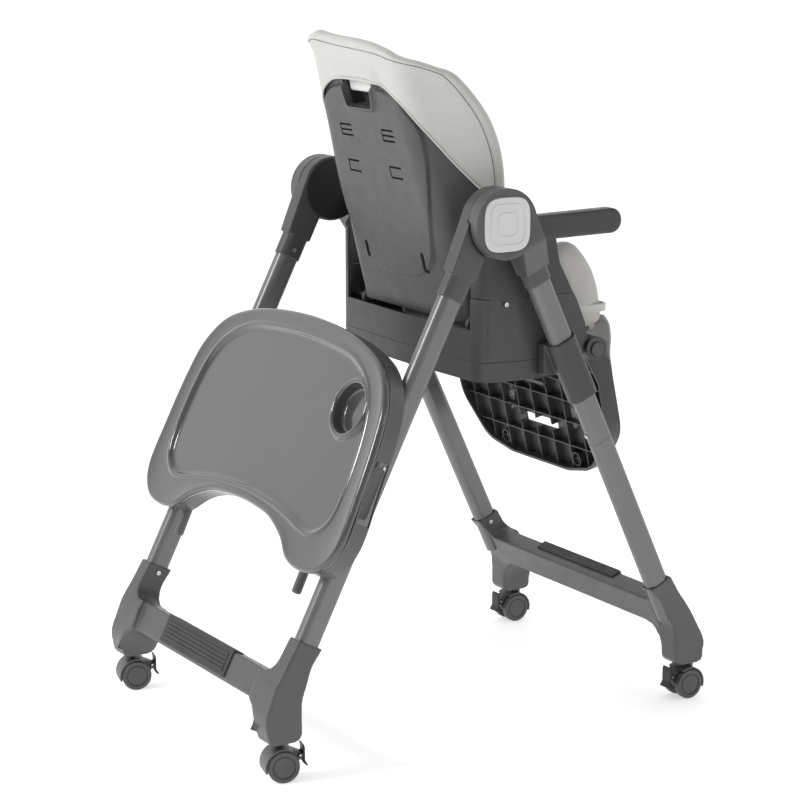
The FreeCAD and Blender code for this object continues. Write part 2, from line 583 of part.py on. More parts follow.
def legrest():
    rim = (-31.0, -3.0)
    skin = (-24.0, -21.0)
    flange = prism(legrest_face(0), "y", *rim).cut(prism(legrest_face(4), "y", rim[0] - 1, rim[1] + 1))
    shell = flange.fuse(prism(legrest_face(2), "y", *skin))
    inside = prism(legrest_face(3), "y", *rim)
    ribs = []
    for i in range(-4, 5):
        ribs.append(bar(i * 45 - 1, i * 45 + 1, skin[1], -9, -240, -42))
    for z in (-78, -112, -148, -190):
        ribs.append(bar(-212, 212, skin[1], -9, z - 1, z + 1))
    grid = ribs[0]
    for r in ribs[1:]:
        grid = grid.fuse(r)
    shell = shell.fuse(grid.common(inside))
    for sign in (1, -1):
        ring = rod(V(sign * 102, skin[1], -212), V(0, 1, 0), 12, 12)
        well = rod(V(sign * 102, skin[1], -212), V(0, 1, 0), 10, 12)
        shell = shell.cut(well).fuse(ring.cut(well))
        spokes = bar(sign * 102 - 11, sign * 102 + 11, skin[1], -12, -213, -211).fuse(
            bar(sign * 102 - 1, sign * 102 + 1, skin[1], -12, -223, -201))
        shell = shell.fuse(spokes)
        arm = prism([(-31, -42), (-14, 0), (14, 0), (-3, -42)], "x", 208, 212)
        disc = xrod(206, 226, 0, 0, 19)
        side = join(disc, arm, prism([(-31, -60), (-24, -20), (14, -8), (-3, -60)], "x", 207, 212))
        side = side.cut(xrod(200, 230, 0, 0, 11.4))
        side = side.fuse(xrod(206, 210.5, 0, 0, 12))
        shell = shell.fuse(side if sign > 0 else mirror(side))
    shell = shell.removeSplitter()
    bore = xrod(200, 210.5, 0, 0, 6 + PIN_FIT)
    shell = cut(shell, bore, mirror(bore))
    shell = shell.cut(bar(-46, 46, -40, 0, -176, -160.5, 3, "y"))
    shell = shell.cut(bar(-44, 44, -40, 0, -97.5, -88.5, 0))
    save("legrest_shell", placed(shell, LEGREST, LEGREST_LEAN))
    pad = prism(legrest_face(9, -40), "y", -31.5, -24.4)
    pad = cut(pad, bar(-50, 50, -40, 0, -180, -156, 4, "y"), bar(-80, 80, -40, 0, -102, -84))
    save("legrest_pad", placed(pad, LEGREST, LEGREST_LEAN))
    step = prism([(-75, -88, 22), (75, -88, 22), (75, -32.5, 3), (43, -32.5), (43, -8), (-43, -8),
                  (-43, -32.5), (-75, -32.5, 3)], "z", -96, -90)
    save("footplate", placed(step, LEGREST, LEGREST_LEAN))
    button = xrod(217, 229, 0, 0, 11)
    button = soften(button, 1.5, lambda e: e.BoundBox.XMin > 228.9)
    save_pair("legrest_button", placed(button, LEGREST, 0))


# ----------------------------- tray ----------------------------------------
# right half of the tray's outline, from the top centre to the middle of the
# body cut-out, across and up the tray
TRAY_HALF = [(0, 184), (100, 179), (180, 166), (247, 140), (288, 92), (303, 30), (310, -50), (311, -125),
             (282, -165), (235, -176), (188, -169), (150, -143), (100, -123), (50, -116)]
TRAY_NECK = (0, -114)
# and of the ridge round its sunken floor
RIDGE_HALF = [(0, 158), (92, 154), (160, 145), (214, 121), (248, 84), (265, 30), (271, -42), (266, -88),
              (247, -112), (222, -123), (190, -121), (150, -112), (100, -104), (50, -100)]
RIDGE_NECK = (0, -98)


def tray_wire(half, neck, inset, n):
    """An outline from its right half, moved inwards by inset, at height n off the legs."""
    ring = half + [neck] + [(-u, v) for u, v in reversed(half[1:])]
    points = []
    for i, (u, v) in enumerate(ring):
        u0, v0 = ring[i - 1]
        u1, v1 = ring[(i + 1) % len(ring)]
        long = math.hypot(u1 - u0, v1 - v0)
        inward = ((v1 - v0) / long, -(u1 - u0) / long)
        points.append(V(u + inward[0] * inset, -n, v + inward[1] * inset))
    curve = Part.BSplineCurve()
    curve.interpolate(points, PeriodicFlag=True)
    return Part.Wire(curve.toShape())


def tray_slab(inset, n0, n1):
    """Solid between two heights off the legs (in the tray's own frame)."""
    return Part.Face(tray_wire(TRAY_HALF, TRAY_NECK, inset, n0)).extrude(V(0, n0 - n1, 0))


def dish(inset, n0, n1):
    """The space inside the ridge, between two heights."""
    return Part.Face(tray_wire(RIDGE_HALF, RIDGE_NECK, inset, n0)).extrude(V(0, n0 - n1, 0))


def on_tray(shape):
    """The tray's frame has its face towards -Y; turn it to face the back."""
    moved = shape.copy()
    moved.rotate(V(0, 0, 0), V(0, 0, 1), 180)
    moved.rotate(V(0, 0, 0), V(1, 0, 0), TRAY_TILT)
    moved.translate(TRAY_AT)
    return moved


def tray():
    base_top, floor_n = 47.0, 51.0
    cup_u, cup_v, cup_r = 200.0, 70.0, 38.0
    # base: rim wall under the insert, a top deck, channels for the armrests
    base_shell = tray_slab(0, TRAY_UNDER, base_top).cut(tray_slab(4, TRAY_UNDER - 1, base_top - 3))
    base_shell = base_shell.cut(rod(V(cup_u, -60, cup_v), V(0, 1, 0), cup_r + 3, 30))
    channels = []
    for sign in (1, -1):
        box = bar(sign * 217 - 17, sign * 217 + 17, -base_top + 2, -4, -158, -40, 5, "y")
        hollow = bar(sign * 217 - 14, sign * 217 + 14, -base_top - 1, -7, -154, -44, 3, "y")
        peg = rod(V(sign * 196, -22, -213), V(0, 0, 1), 7.5, 64)
        guard = bar(sign * 196 - 11, sign * 196 + 11, -base_top + 2, -12, -160, -140, 4, "z")
        channels += [box.cut(hollow), guard, soften(peg, 4, lambda e: e.BoundBox.ZMax < -212.9)]
    base_shell = join(base_shell, *channels)
    for sign in (1, -1):
        niche = bar(min(sign * 300, sign * 330), max(sign * 300, sign * 330), -44, -22, -82, 12)
        base_shell = base_shell.cut(niche)
    hung = on_tray(base_shell)
    leg = rear(tube(REAR_OFF, -64, REAR_FOOT_TOP, 0.8, 0))
    save("tray_base", cut(hung, leg, mirror(leg)))
    for sign, name in ((-1, "tray_lever_left"), (1, "tray_lever_right")):
        lever = bar(min(sign * 294, sign * 303), max(sign * 294, sign * 303), -42, -24, -74, 4, 3, "x")
        save(name, on_tray(lever))
    # insert: raised rim round a sunken floor, and a cup well
    rim = tray_slab(-1.5, base_top + 0.5, TRAY_RIM).cut(dish(3.5, floor_n, TRAY_RIM + 1))
    well = rod(V(cup_u, -TRAY_RIM + 2.5, cup_v), V(0, 1, 0), cup_r + 7, 5)
    well = well.fuse(rod(V(cup_u, -TRAY_RIM + 3, cup_v), V(0, 1, 0), cup_r + 2.5, 20))
    insert = rim.fuse(well).removeSplitter()
    insert = insert.cut(rod(V(cup_u, -TRAY_RIM - 1, cup_v), V(0, 1, 0), cup_r, 21))
    save("tray_insert", on_tray(insert))


leg_tubes()
hubs()
lower_frame()
for which in ("rear", "front"):
    for sign in (1, -1):
        castor(which, sign)
seat_frame()
armrests()
sleeves()
seat_soft()
backrest()
legrest()
tray()
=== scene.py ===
import json
import math

import bmesh
import bpy
from mathutils import Matrix, Vector, noise


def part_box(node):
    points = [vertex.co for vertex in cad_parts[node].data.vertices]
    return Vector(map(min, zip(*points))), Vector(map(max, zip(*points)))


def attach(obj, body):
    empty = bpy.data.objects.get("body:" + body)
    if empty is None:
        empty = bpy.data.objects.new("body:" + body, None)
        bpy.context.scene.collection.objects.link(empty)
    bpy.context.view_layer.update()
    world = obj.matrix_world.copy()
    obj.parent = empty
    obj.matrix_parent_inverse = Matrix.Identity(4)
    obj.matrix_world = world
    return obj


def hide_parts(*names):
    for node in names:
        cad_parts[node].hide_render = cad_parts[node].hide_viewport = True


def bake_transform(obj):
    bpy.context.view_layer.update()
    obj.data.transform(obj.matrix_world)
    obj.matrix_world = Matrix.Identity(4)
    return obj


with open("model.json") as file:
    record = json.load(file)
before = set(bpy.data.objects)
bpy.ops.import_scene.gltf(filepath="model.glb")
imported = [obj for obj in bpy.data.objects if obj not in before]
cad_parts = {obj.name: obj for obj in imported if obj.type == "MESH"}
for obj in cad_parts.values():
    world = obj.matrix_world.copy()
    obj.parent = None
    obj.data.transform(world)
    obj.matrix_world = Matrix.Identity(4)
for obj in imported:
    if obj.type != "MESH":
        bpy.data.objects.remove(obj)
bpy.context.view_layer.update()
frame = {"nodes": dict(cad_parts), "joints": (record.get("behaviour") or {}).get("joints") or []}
JOINTS = {joint["name"]: joint for joint in frame["joints"]}

# --- camera and light ---
AZIMUTH, ELEVATION = math.radians(238.83), math.radians(11.75)
DISTANCE = 3.899
TARGET = Vector((0, 0.0074, 0.484))
LENS = 110.79
BACK = Vector((math.sin(AZIMUTH) * math.cos(ELEVATION), -math.cos(AZIMUTH) * math.cos(ELEVATION),
               math.sin(ELEVATION)))
FLOOR_SIZE = 14.0
SKY_FRONT, SKY_BEHIND = 1.12, 0.36      # brightness beyond the chair and behind the camera


def set_camera():
    """Looks at the back left of the chair from slightly above."""
    data = bpy.data.cameras.new("camera")
    data.lens, data.sensor_width = LENS, 36.0
    camera = bpy.data.objects.new("camera", data)
    camera.location = TARGET + BACK * DISTANCE
    camera.rotation_mode = "QUATERNION"
    camera.rotation_quaternion = (-BACK).to_track_quat("-Z", "Y")
    bpy.context.scene.collection.objects.link(camera)
    bpy.context.scene.camera = camera


def soft_box(name, place, aim, size, power):
    """A square studio light that points at aim."""
    data = bpy.data.lights.new(name, "AREA")
    data.size, data.energy = size, power
    lamp = bpy.data.objects.new(name, data)
    lamp.location = place
    lamp.rotation_mode = "QUATERNION"
    lamp.rotation_quaternion = (Vector(aim) - Vector(place)).to_track_quat("-Z", "Y")
    bpy.context.scene.collection.objects.link(lamp)


def set_stage():
    """White floor, white surroundings and two soft boxes."""
    scene = bpy.context.scene
    scene.view_settings.view_transform = "Standard"
    world = bpy.data.worlds.new("studio")
    world.use_nodes = True
    tree, sky = world.node_tree, world.node_tree.nodes["Background"]
    sky.inputs["Color"].default_value = (1, 1, 1, 1)
    away = add(tree, "ShaderNodeVectorMath")
    away.operation = "DOT_PRODUCT"
    tree.links.new(add(tree, "ShaderNodeTexCoord").outputs["Generated"], away.inputs[0])
    away.inputs[1].default_value = tuple(BACK)
    strength = spread(tree, away.outputs["Value"], SKY_FRONT, SKY_BEHIND, -0.35, 0.45)
    tree.links.new(strength, sky.inputs["Strength"])
    scene.world = world
    half = FLOOR_SIZE / 2
    corners = [(-half, -half, 0), (half, -half, 0), (half, half, 0), (-half, half, 0)]
    mesh = bpy.data.meshes.new("floor")
    mesh.from_pydata(corners, [], [(0, 1, 2, 3)])
    floor = bpy.data.objects.new("floor", mesh)
    floor.data.materials.append(floor_material())
    scene.collection.objects.link(floor)
    soft_box("key", (0.6, 3.2, 2.4), (0, 0, 0.7), 0.9, 58)
    soft_box("fill", (-3.4, -1.6, 1.6), (0, 0, 0.6), 0.9, 6)


# --- materials ---
def linear(level):
    """Linear value of a display level from 0 to 255."""
    share = level / 255
    return share / 12.92 if share <= 0.04045 else ((share + 0.055) / 1.055) ** 2.4


def colour(red, green, blue):
    """Shader colour of three display levels."""
    return tuple(linear(level) for level in (red, green, blue)) + (1.0,)


def grey(level):
    """Shader colour of one display level."""
    return colour(level, level, level)


def blank(name):
    made = bpy.data.materials.new(name)
    made.use_nodes = True
    return made, made.node_tree, made.node_tree.nodes["Principled BSDF"]


def add(tree, kind, **inputs):
    """A new node with its input sockets set; a socket as the value is a link."""
    made = tree.nodes.new(kind)
    for key, value in inputs.items():
        socket = made.inputs[key.replace("_", " ")]
        if isinstance(value, bpy.types.NodeSocket):
            tree.links.new(value, socket)
        else:
            socket.default_value = value
    return made


def spread(tree, value, low, high, start=0.3, end=0.7):
    """Value from start to end, mapped to low to high."""
    made = add(tree, "ShaderNodeMapRange", Value=value)
    made.inputs["From Min"].default_value, made.inputs["From Max"].default_value = start, end
    made.inputs["To Min"].default_value, made.inputs["To Max"].default_value = low, high
    return made.outputs["Result"]


def maths(tree, operation, first, second):
    """One arithmetic step on two sockets."""
    made = add(tree, "ShaderNodeMath")
    made.operation = operation
    tree.links.new(first, made.inputs[0])
    tree.links.new(second, made.inputs[1])
    return made.outputs[0]


def mix(tree, share, first, second):
    """Mixes two colours; first and second are colours or sockets."""
    made = tree.nodes.new("ShaderNodeMix")
    made.data_type = "RGBA"
    for value, socket in ((share, made.inputs[0]), (first, made.inputs[6]), (second, made.inputs[7])):
        if isinstance(value, bpy.types.NodeSocket):
            tree.links.new(value, socket)
        else:
            socket.default_value = value
    return made.outputs[2]


def scaled(tint, gain):
    return tuple(min(1.0, value * gain) for value in tint[:3]) + (1.0,)


def floor_material():
    made, tree, shader = blank("floor_paper")
    place = add(tree, "ShaderNodeTexCoord").outputs["Object"]
    fibre = add(tree, "ShaderNodeTexNoise", Vector=place, Scale=180.0, Detail=3.0)
    tint = mix(tree, fibre.outputs["Fac"], (0.94, 0.94, 0.94, 1), (0.96, 0.96, 0.96, 1))
    tree.links.new(tint, shader.inputs["Base Color"])
    shader.inputs["Roughness"].default_value = 0.9
    shader.inputs["Specular IOR Level"].default_value = 0.1
    shader.inputs["Emission Color"].default_value = (1, 1, 1, 1)
    shader.inputs["Emission Strength"].default_value = 0.50
    return made


def moulded(name, tint, rough=(0.38, 0.50), grain=1500.0, depth=0.10, wear=1.35, round_edge=0.0012,
            coat=0.0):
    """Moulded plastic: fine grain, slow tone drift, paler worn edges, rounded arrises."""
    made, tree, shader = blank(name)
    place = add(tree, "ShaderNodeTexCoord").outputs["Object"]
    drift = add(tree, "ShaderNodeTexNoise", Vector=place, Scale=6.0, Detail=3.0).outputs["Fac"]
    fine = add(tree, "ShaderNodeTexNoise", Vector=place, Scale=grain, Detail=2.0).outputs["Fac"]
    smear = add(tree, "ShaderNodeTexNoise", Vector=place, Scale=45.0, Detail=4.0).outputs["Fac"]
    base = mix(tree, spread(tree, drift, 0.0, 1.0), scaled(tint, 0.93), scaled(tint, 1.07))
    speck = mix(tree, spread(tree, fine, 0.0, 0.35), base, scaled(tint, 0.82))
    point = add(tree, "ShaderNodeNewGeometry").outputs["Pointiness"]
    edge = spread(tree, point, 0.0, 0.8, 0.53, 0.62)
    worn = mix(tree, edge, speck, scaled(tint, wear))
    tree.links.new(worn, shader.inputs["Base Color"])
    tree.links.new(spread(tree, smear, rough[0], rough[1]), shader.inputs["Roughness"])
    rounded = add(tree, "ShaderNodeBevel", Radius=round_edge)
    rounded.samples = 4
    bump = add(tree, "ShaderNodeBump", Strength=depth, Distance=0.0004, Height=fine,
               Normal=rounded.outputs["Normal"])
    tree.links.new(bump.outputs["Normal"], shader.inputs["Normal"])
    shader.inputs["Coat Weight"].default_value = coat
    shader.inputs["Coat Roughness"].default_value = 0.08
    return made


def leatherette(name, tint, cells=620.0, depth=0.22):
    """Coated fabric: pebbled grain with fine creases and soft uneven tone."""
    made, tree, shader = blank(name)
    place = add(tree, "ShaderNodeTexCoord").outputs["Object"]
    warp = add(tree, "ShaderNodeTexNoise", Vector=place, Scale=90.0, Detail=3.0)
    bent = add(tree, "ShaderNodeVectorMath", Vector=place)
    bent.operation = "MULTIPLY_ADD"
    tree.links.new(warp.outputs["Color"], bent.inputs[0])
    bent.inputs[1].default_value = (0.0022, 0.0022, 0.0022)
    tree.links.new(place, bent.inputs[2])
    pebble = add(tree, "ShaderNodeTexVoronoi", Vector=bent.outputs["Vector"], Scale=cells)
    pebble.feature = "DISTANCE_TO_EDGE"
    crack = spread(tree, pebble.outputs["Distance"], 0.0, 1.0, 0.0, 0.18)
    drift = add(tree, "ShaderNodeTexNoise", Vector=place, Scale=9.0, Detail=5.0).outputs["Fac"]
    base = mix(tree, spread(tree, drift, 0.0, 1.0), scaled(tint, 0.95), scaled(tint, 1.03))
    tinted = mix(tree, crack, scaled(tint, 0.86), base)
    tree.links.new(tinted, shader.inputs["Base Color"])
    tree.links.new(spread(tree, drift, 0.46, 0.60), shader.inputs["Roughness"])
    swell = add(tree, "ShaderNodeTexNoise", Vector=place, Scale=38.0, Detail=4.0).outputs["Fac"]
    low = add(tree, "ShaderNodeBump", Strength=0.35, Distance=0.0022, Height=swell)
    grain = add(tree, "ShaderNodeBump", Strength=depth, Distance=0.0004, Height=crack,
                Normal=low.outputs["Normal"])
    tree.links.new(grain.outputs["Normal"], shader.inputs["Normal"])
    shader.inputs["Sheen Weight"].default_value = 0.12
    shader.inputs["Sheen Roughness"].default_value = 0.5
    shader.inputs["Specular IOR Level"].default_value = 0.4
    return made


def woven(name, tint, threads=520.0):
    """Webbing: ribs across the strap and a finer twill along it."""
    made, tree, shader = blank(name)
    place = add(tree, "ShaderNodeTexCoord").outputs["Object"]
    waves = []
    for direction, scale in (("X", threads), ("Z", threads * 0.7), ("Y", threads * 0.7)):
        wave = add(tree, "ShaderNodeTexWave", Vector=place, Scale=scale / 6.28, Distortion=0.4)
        wave.bands_direction = direction
        waves.append(wave.outputs["Fac"])
    total = maths(tree, "ADD", maths(tree, "MULTIPLY", waves[0], waves[1]), waves[2])
    base = mix(tree, spread(tree, total, 0.0, 1.0, 0.2, 1.2), scaled(tint, 0.6), scaled(tint, 1.2))
    tree.links.new(base, shader.inputs["Base Color"])
    bump = add(tree, "ShaderNodeBump", Strength=0.5, Distance=0.0006, Height=total)
    tree.links.new(bump.outputs["Normal"], shader.inputs["Normal"])
    shader.inputs["Roughness"].default_value = 0.8
    shader.inputs["Sheen Weight"].default_value = 0.3
    return made


def painted(name, tint):
    """Powder-coated tube: metallic base with orange-peel bump and a soft sheen."""
    made, tree, shader = blank(name)
    place = add(tree, "ShaderNodeTexCoord").outputs["Object"]
    peel = add(tree, "ShaderNodeTexNoise", Vector=place, Scale=700.0, Detail=2.0).outputs["Fac"]
    flake = add(tree, "ShaderNodeTexNoise", Vector=place, Scale=3200.0, Detail=1.0).outputs["Fac"]
    drift = add(tree, "ShaderNodeTexNoise", Vector=place, Scale=8.0, Detail=3.0).outputs["Fac"]
    base = mix(tree, spread(tree, drift, 0.0, 1.0), scaled(tint, 0.95), scaled(tint, 1.05))
    sparkle = mix(tree, spread(tree, flake, 0.0, 0.5, 0.55, 0.75), base, scaled(tint, 1.5))
    tree.links.new(sparkle, shader.inputs["Base Color"])
    tree.links.new(spread(tree, peel, 0.30, 0.42), shader.inputs["Roughness"])
    bump = add(tree, "ShaderNodeBump", Strength=0.12, Distance=0.0003, Height=peel)
    tree.links.new(bump.outputs["Normal"], shader.inputs["Normal"])
    shader.inputs["Metallic"].default_value = 0.45
    return made


def bare_steel(name, tint, bright):
    """Steel brushed along its length, between a darker and a brighter tone."""
    made, tree, shader = blank(name)
    place = add(tree, "ShaderNodeTexCoord").outputs["Object"]
    stretch = add(tree, "ShaderNodeMapping", Vector=place)
    stretch.inputs["Scale"].default_value = (1.0, 1.0, 14.0)
    brushed = add(tree, "ShaderNodeTexNoise", Vector=stretch.outputs["Vector"], Scale=420.0, Detail=3.0)
    tree.links.new(mix(tree, brushed.outputs["Fac"], tint, bright), shader.inputs["Base Color"])
    tree.links.new(spread(tree, brushed.outputs["Fac"], 0.18, 0.36), shader.inputs["Roughness"])
    shader.inputs["Metallic"].default_value = 1.0
    return made


# record slot: kind of material, shader colour, settings
FINISHES = {
    "hub_plastic": (moulded, grey(76), {}),
    "seat_plastic": (moulded, grey(61), {}),
    "shell_plastic": (moulded, grey(74), {"depth": 0.16}),
    "base_plastic": (moulded, grey(86), {"rough": (0.34, 0.46)}),
    "tube_paint": (painted, grey(116), {}),
    "tray_plastic": (moulded, grey(78), {"rough": (0.10, 0.16), "depth": 0.02, "wear": 1.15, "coat": 0.6}),
    "tray_base_plastic": (moulded, grey(92), {"rough": (0.22, 0.32)}),
    "button_plastic": (moulded, colour(218, 218, 217), {"rough": (0.36, 0.46), "wear": 1.06}),
    "cover_leatherette": (leatherette, colour(203, 202, 198), {}),
    "pad_leatherette": (leatherette, colour(190, 188, 185), {}),
    "webbing": (woven, grey(120), {}),
    "black_plastic": (moulded, grey(36), {"rough": (0.42, 0.55)}),
    "wheel_plastic": (moulded, grey(79), {"rough": (0.34, 0.48)}),
    "steel": (bare_steel, (0.50, 0.50, 0.52, 1), {"bright": (0.72, 0.72, 0.73, 1)}),
    "tread_rubber": (moulded, grey(56), {"rough": (0.6, 0.75), "depth": 0.2}),
}
MATERIALS = {}


def finish_of(slot):
    """The material of a record slot, made once."""
    if slot not in MATERIALS:
        kind, tint, settings = FINISHES[slot]
        MATERIALS[slot] = kind("finish_" + slot, tint, **settings)
    return MATERIALS[slot]


def dress_frame():
    """Every CAD node gets the procedural material of its slot."""
    for cad in frame["nodes"].values():
        for place in cad.material_slots:
            slot = place.material.name.split(".")[0]
            place.material = finish_of(slot)


# --- mesh helpers ---
def link(name, mesh, slot, body, *replaced):
    """A new piece that rides on a body, wears its slot's finish and may stand for CAD nodes."""
    for face in mesh.polygons:
        face.use_smooth = True
    mesh.set_sharp_from_angle(angle=math.radians(42))
    made = bpy.data.objects.new(name, mesh)
    bpy.context.scene.collection.objects.link(made)
    mesh.materials.clear()
    mesh.materials.append(finish_of(slot))
    if body:
        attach(made, body)
    if replaced:
        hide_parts(*replaced)
    return made


def mesh_of(points, faces):
    mesh = bpy.data.meshes.new("mesh")
    mesh.from_pydata([tuple(p) for p in points], [], faces)
    mesh.update()
    return mesh


def settled(mesh, *modifiers):
    """The mesh with modifiers applied; each is (kind, {setting: value})."""
    holder = bpy.data.objects.new("holder", mesh)
    bpy.context.scene.collection.objects.link(holder)
    for kind, settings in modifiers:
        modifier = holder.modifiers.new(kind, kind)
        for key, value in settings.items():
            setattr(modifier, key, value)
    graph = bpy.context.evaluated_depsgraph_get()
    made = bpy.data.meshes.new_from_object(holder.evaluated_get(graph))
    bpy.data.objects.remove(holder)
    return made


def outward(mesh):
    """Faces turned outwards on a closed mesh."""
    work = bmesh.new()
    work.from_mesh(mesh)
    bmesh.ops.remove_doubles(work, verts=work.verts, dist=1e-6)
    bmesh.ops.recalc_face_normals(work, faces=work.faces)
    work.to_mesh(mesh)
    work.free()
    return mesh


def strips(rows, columns, wrap=False, start=0):
    """Quads of a grid of rows by columns, counted row by row."""
    faces = []
    for i in range(rows - 1):
        for j in range(columns if wrap else columns - 1):
            k = (j + 1) % columns
            low, high = start + i * columns, start + (i + 1) * columns
            faces.append((low + j, low + k, high + k, high + j))
    return faces


def tower(rings):
    """Closed mesh from equal rings, first and last capped by one face."""
    count = len(rings[0])
    points = [p for ring in rings for p in ring]
    faces = strips(len(rings), count, wrap=True)
    faces.append(tuple(range(count))[::-1])
    faces.append(tuple(range(len(points) - count, len(points))))
    return outward(mesh_of(points, faces))


def merged(meshes):
    """Several meshes as one."""
    points, faces = [], []
    for mesh in meshes:
        start = len(points)
        points += [tuple(v.co) for v in mesh.vertices]
        faces += [tuple(start + i for i in face.vertices) for face in mesh.polygons]
    return mesh_of(points, faces)


def cut_by(mesh, cutter):
    tool = bpy.data.objects.new("tool", cutter)
    bpy.context.scene.collection.objects.link(tool)
    made = settled(mesh, ("BOOLEAN", {"object": tool, "operation": "DIFFERENCE", "solver": "EXACT"}))
    bpy.data.objects.remove(tool)
    return made


def smooth_step(value, low, high):
    share = min(1.0, max(0.0, (value - low) / (high - low)))
    return share * share * (3 - 2 * share)


def curve_through(points, steps, closed=False):
    """Catmull-Rom points through a list of tuples."""
    count = len(points)
    made = []
    for i in range(count if closed else count - 1):
        p = [Vector(points[(i + k) % count]) if closed else Vector(points[min(max(i + k, 0), count - 1)])
             for k in (-1, 0, 1, 2)]
        for k in range(steps):
            t = k / steps
            made.append(0.5 * (2 * p[1] + (p[2] - p[0]) * t + (2 * p[0] - 5 * p[1] + 4 * p[2] - p[3]) * t * t
                               + (3 * p[1] - p[0] - 3 * p[2] + p[3]) * t ** 3))
    if not closed:
        made.append(Vector(points[-1]))
    return made


def rounded_outline(points, rounds=3):
    """Closed 2D outline with its corners cut smooth."""
    for _ in range(rounds):
        nxt = points[1:] + points[:1]
        points = [q for a, b in zip(points, nxt)
                  for q in ((a[0] * .75 + b[0] * .25, a[1] * .75 + b[1] * .25),
                            (a[0] * .25 + b[0] * .75, a[1] * .25 + b[1] * .75))]
    return points


def filleted(points, radius, steps=6):
    """Closed 2D outline with an arc of one radius at every corner."""
    made = []
    for i, p in enumerate(points):
        p = Vector(p)
        before, after = Vector(points[i - 1]) - p, Vector(points[(i + 1) % len(points)]) - p
        half = before.angle(after) / 2
        middle = p + (before.normalized() + after.normalized()).normalized() * radius / math.sin(half)
        start = p + before.normalized() * radius / math.tan(half) - middle
        end = p + after.normalized() * radius / math.tan(half) - middle
        for k in range(steps + 1):
            arm = start.lerp(end, k / steps)
            made.append(tuple(middle + arm * (radius / arm.length)))
    return made


def depth_inside(x, y, outline):
    """Distance from an outline, positive inside it."""
    best, inside = 1e9, False
    for (ax, ay), (bx, by) in zip(outline, outline[1:] + outline[:1]):
        dx, dy = bx - ax, by - ay
        share = min(1.0, max(0.0, ((x - ax) * dx + (y - ay) * dy) / (dx * dx + dy * dy)))
        best = min(best, math.hypot(x - ax - share * dx, y - ay - share * dy))
        if (ay > y) != (by > y) and x < dx * (y - ay) / dy + ax:
            inside = not inside
    return best if inside else -best


def puffed(mesh, pressure=4.0, reach=0.008, voxel=0.006):
    """A pad blown up by cloth pressure; no point moves further than reach."""
    mesh = settled(outward(mesh), ("REMESH", {"mode": "VOXEL", "voxel_size": voxel}))
    start = [v.co.copy() for v in mesh.vertices]
    holder = bpy.data.objects.new("cloth", mesh)
    bpy.context.scene.collection.objects.link(holder)
    cloth = holder.modifiers.new("cloth", "CLOTH")
    cloth.settings.use_pressure = True
    cloth.settings.uniform_pressure_force = pressure
    cloth.settings.effector_weights.gravity = 0
    scene = bpy.context.scene
    for step in range(1, 19):
        scene.frame_set(step)
    graph = bpy.context.evaluated_depsgraph_get()
    blown = bpy.data.meshes.new_from_object(holder.evaluated_get(graph))
    bpy.data.objects.remove(holder)
    scene.frame_set(1)
    for vertex, home in zip(blown.vertices, start):
        move = vertex.co - home
        if move.length > reach:
            vertex.co = home + move * (reach / move.length)
    return settled(blown, ("SMOOTH", {"factor": 0.5, "iterations": 4}), ("SUBSURF", {"levels": 1}))


# --- backrest ---
RECLINE = Vector(JOINTS["recline"]["pos_m"])
LEAN = math.radians(14.5)
BACK_FACE = 0.0168              # rear face, behind the hinge
WALL = 0.004
CORNER = 0.026                  # half length of the bend between rear face and wing
# height, rear half width, wing half width, how far the wings come forward
BACK_SECTIONS = [(0.008, 0.148, 0.158, 0.034), (0.070, 0.148, 0.166, 0.058), (0.150, 0.144, 0.178, 0.084),
                 (0.230, 0.138, 0.190, 0.098), (0.300, 0.131, 0.190, 0.093), (0.360, 0.128, 0.178, 0.072),
                 (0.404, 0.126, 0.160, 0.046), (0.430, 0.124, 0.142, 0.020), (0.450, 0.122, 0.130, 0.004)]
BACK_LOW, BACK_TOP, HOOD_TOP = 0.008, 0.430, 0.4390     # shell's ends, and where the rim is level
# rim of the hood: place across from the child's right (-1) to left, height; the left ear stands up
RIM = [(-1.0, 0.386), (-0.90, 0.408), (-0.80, 0.421), (-0.68, 0.4300), (-0.50, 0.4360),
       (-0.25, 0.4395), (0.0, 0.4420), (0.25, 0.4440), (0.50, 0.4465), (0.68, 0.4490),
       (0.78, 0.4495), (0.88, 0.4430), (1.0, 0.4250)]
SEAM_SIDE, SEAM_DROP = 0.965, 0.007     # the seam runs this far out and this far under the rim
# hem of the hood: share of the way from the middle to the wing's edge, height
HEM = [(0.0, 0.387), (0.25, 0.385), (0.42, 0.375), (0.54, 0.352), (0.61, 0.316), (0.68, 0.279),
       (0.76, 0.244), (0.88, 0.204), (1.0, 0.176)]
PANEL = [(0.100, 0.068), (0.128, 0.170), (0.139, 0.262), (0.134, 0.326), (0.100, 0.362), (0.056, 0.374)]
HANDLE = [(-0.037, 0.341), (0.037, 0.341), (0.044, 0.388), (-0.044, 0.388)]
POCKET_OUT = [(-0.046, 0.337), (0.046, 0.337), (0.053, 0.402), (-0.053, 0.402)]
POCKET_IN = [(-0.043, 0.340), (0.043, 0.340), (0.050, 0.399), (-0.050, 0.399)]
SURROUND = [(-0.041, 0.3365), (0.041, 0.3365), (0.049, 0.3925), (-0.049, 0.3925)]
# comb-shaped strap slots: place, half height and pitch of a bar, then tip, root and spine across
SLOT_X, SLOT_HALF, SLOT_PITCH = 0.0625, 0.0016, 0.0085
SLOT_COMB = (-0.017, 0.015, 0.018)
LAP_SLOT = (0.084, 0.0045, 0.079, 0.115)        # centre, half width, bottom, top
SLOT_ROWS = [(0.300, (1, 0, -1)), (0.241, (1, -1))]


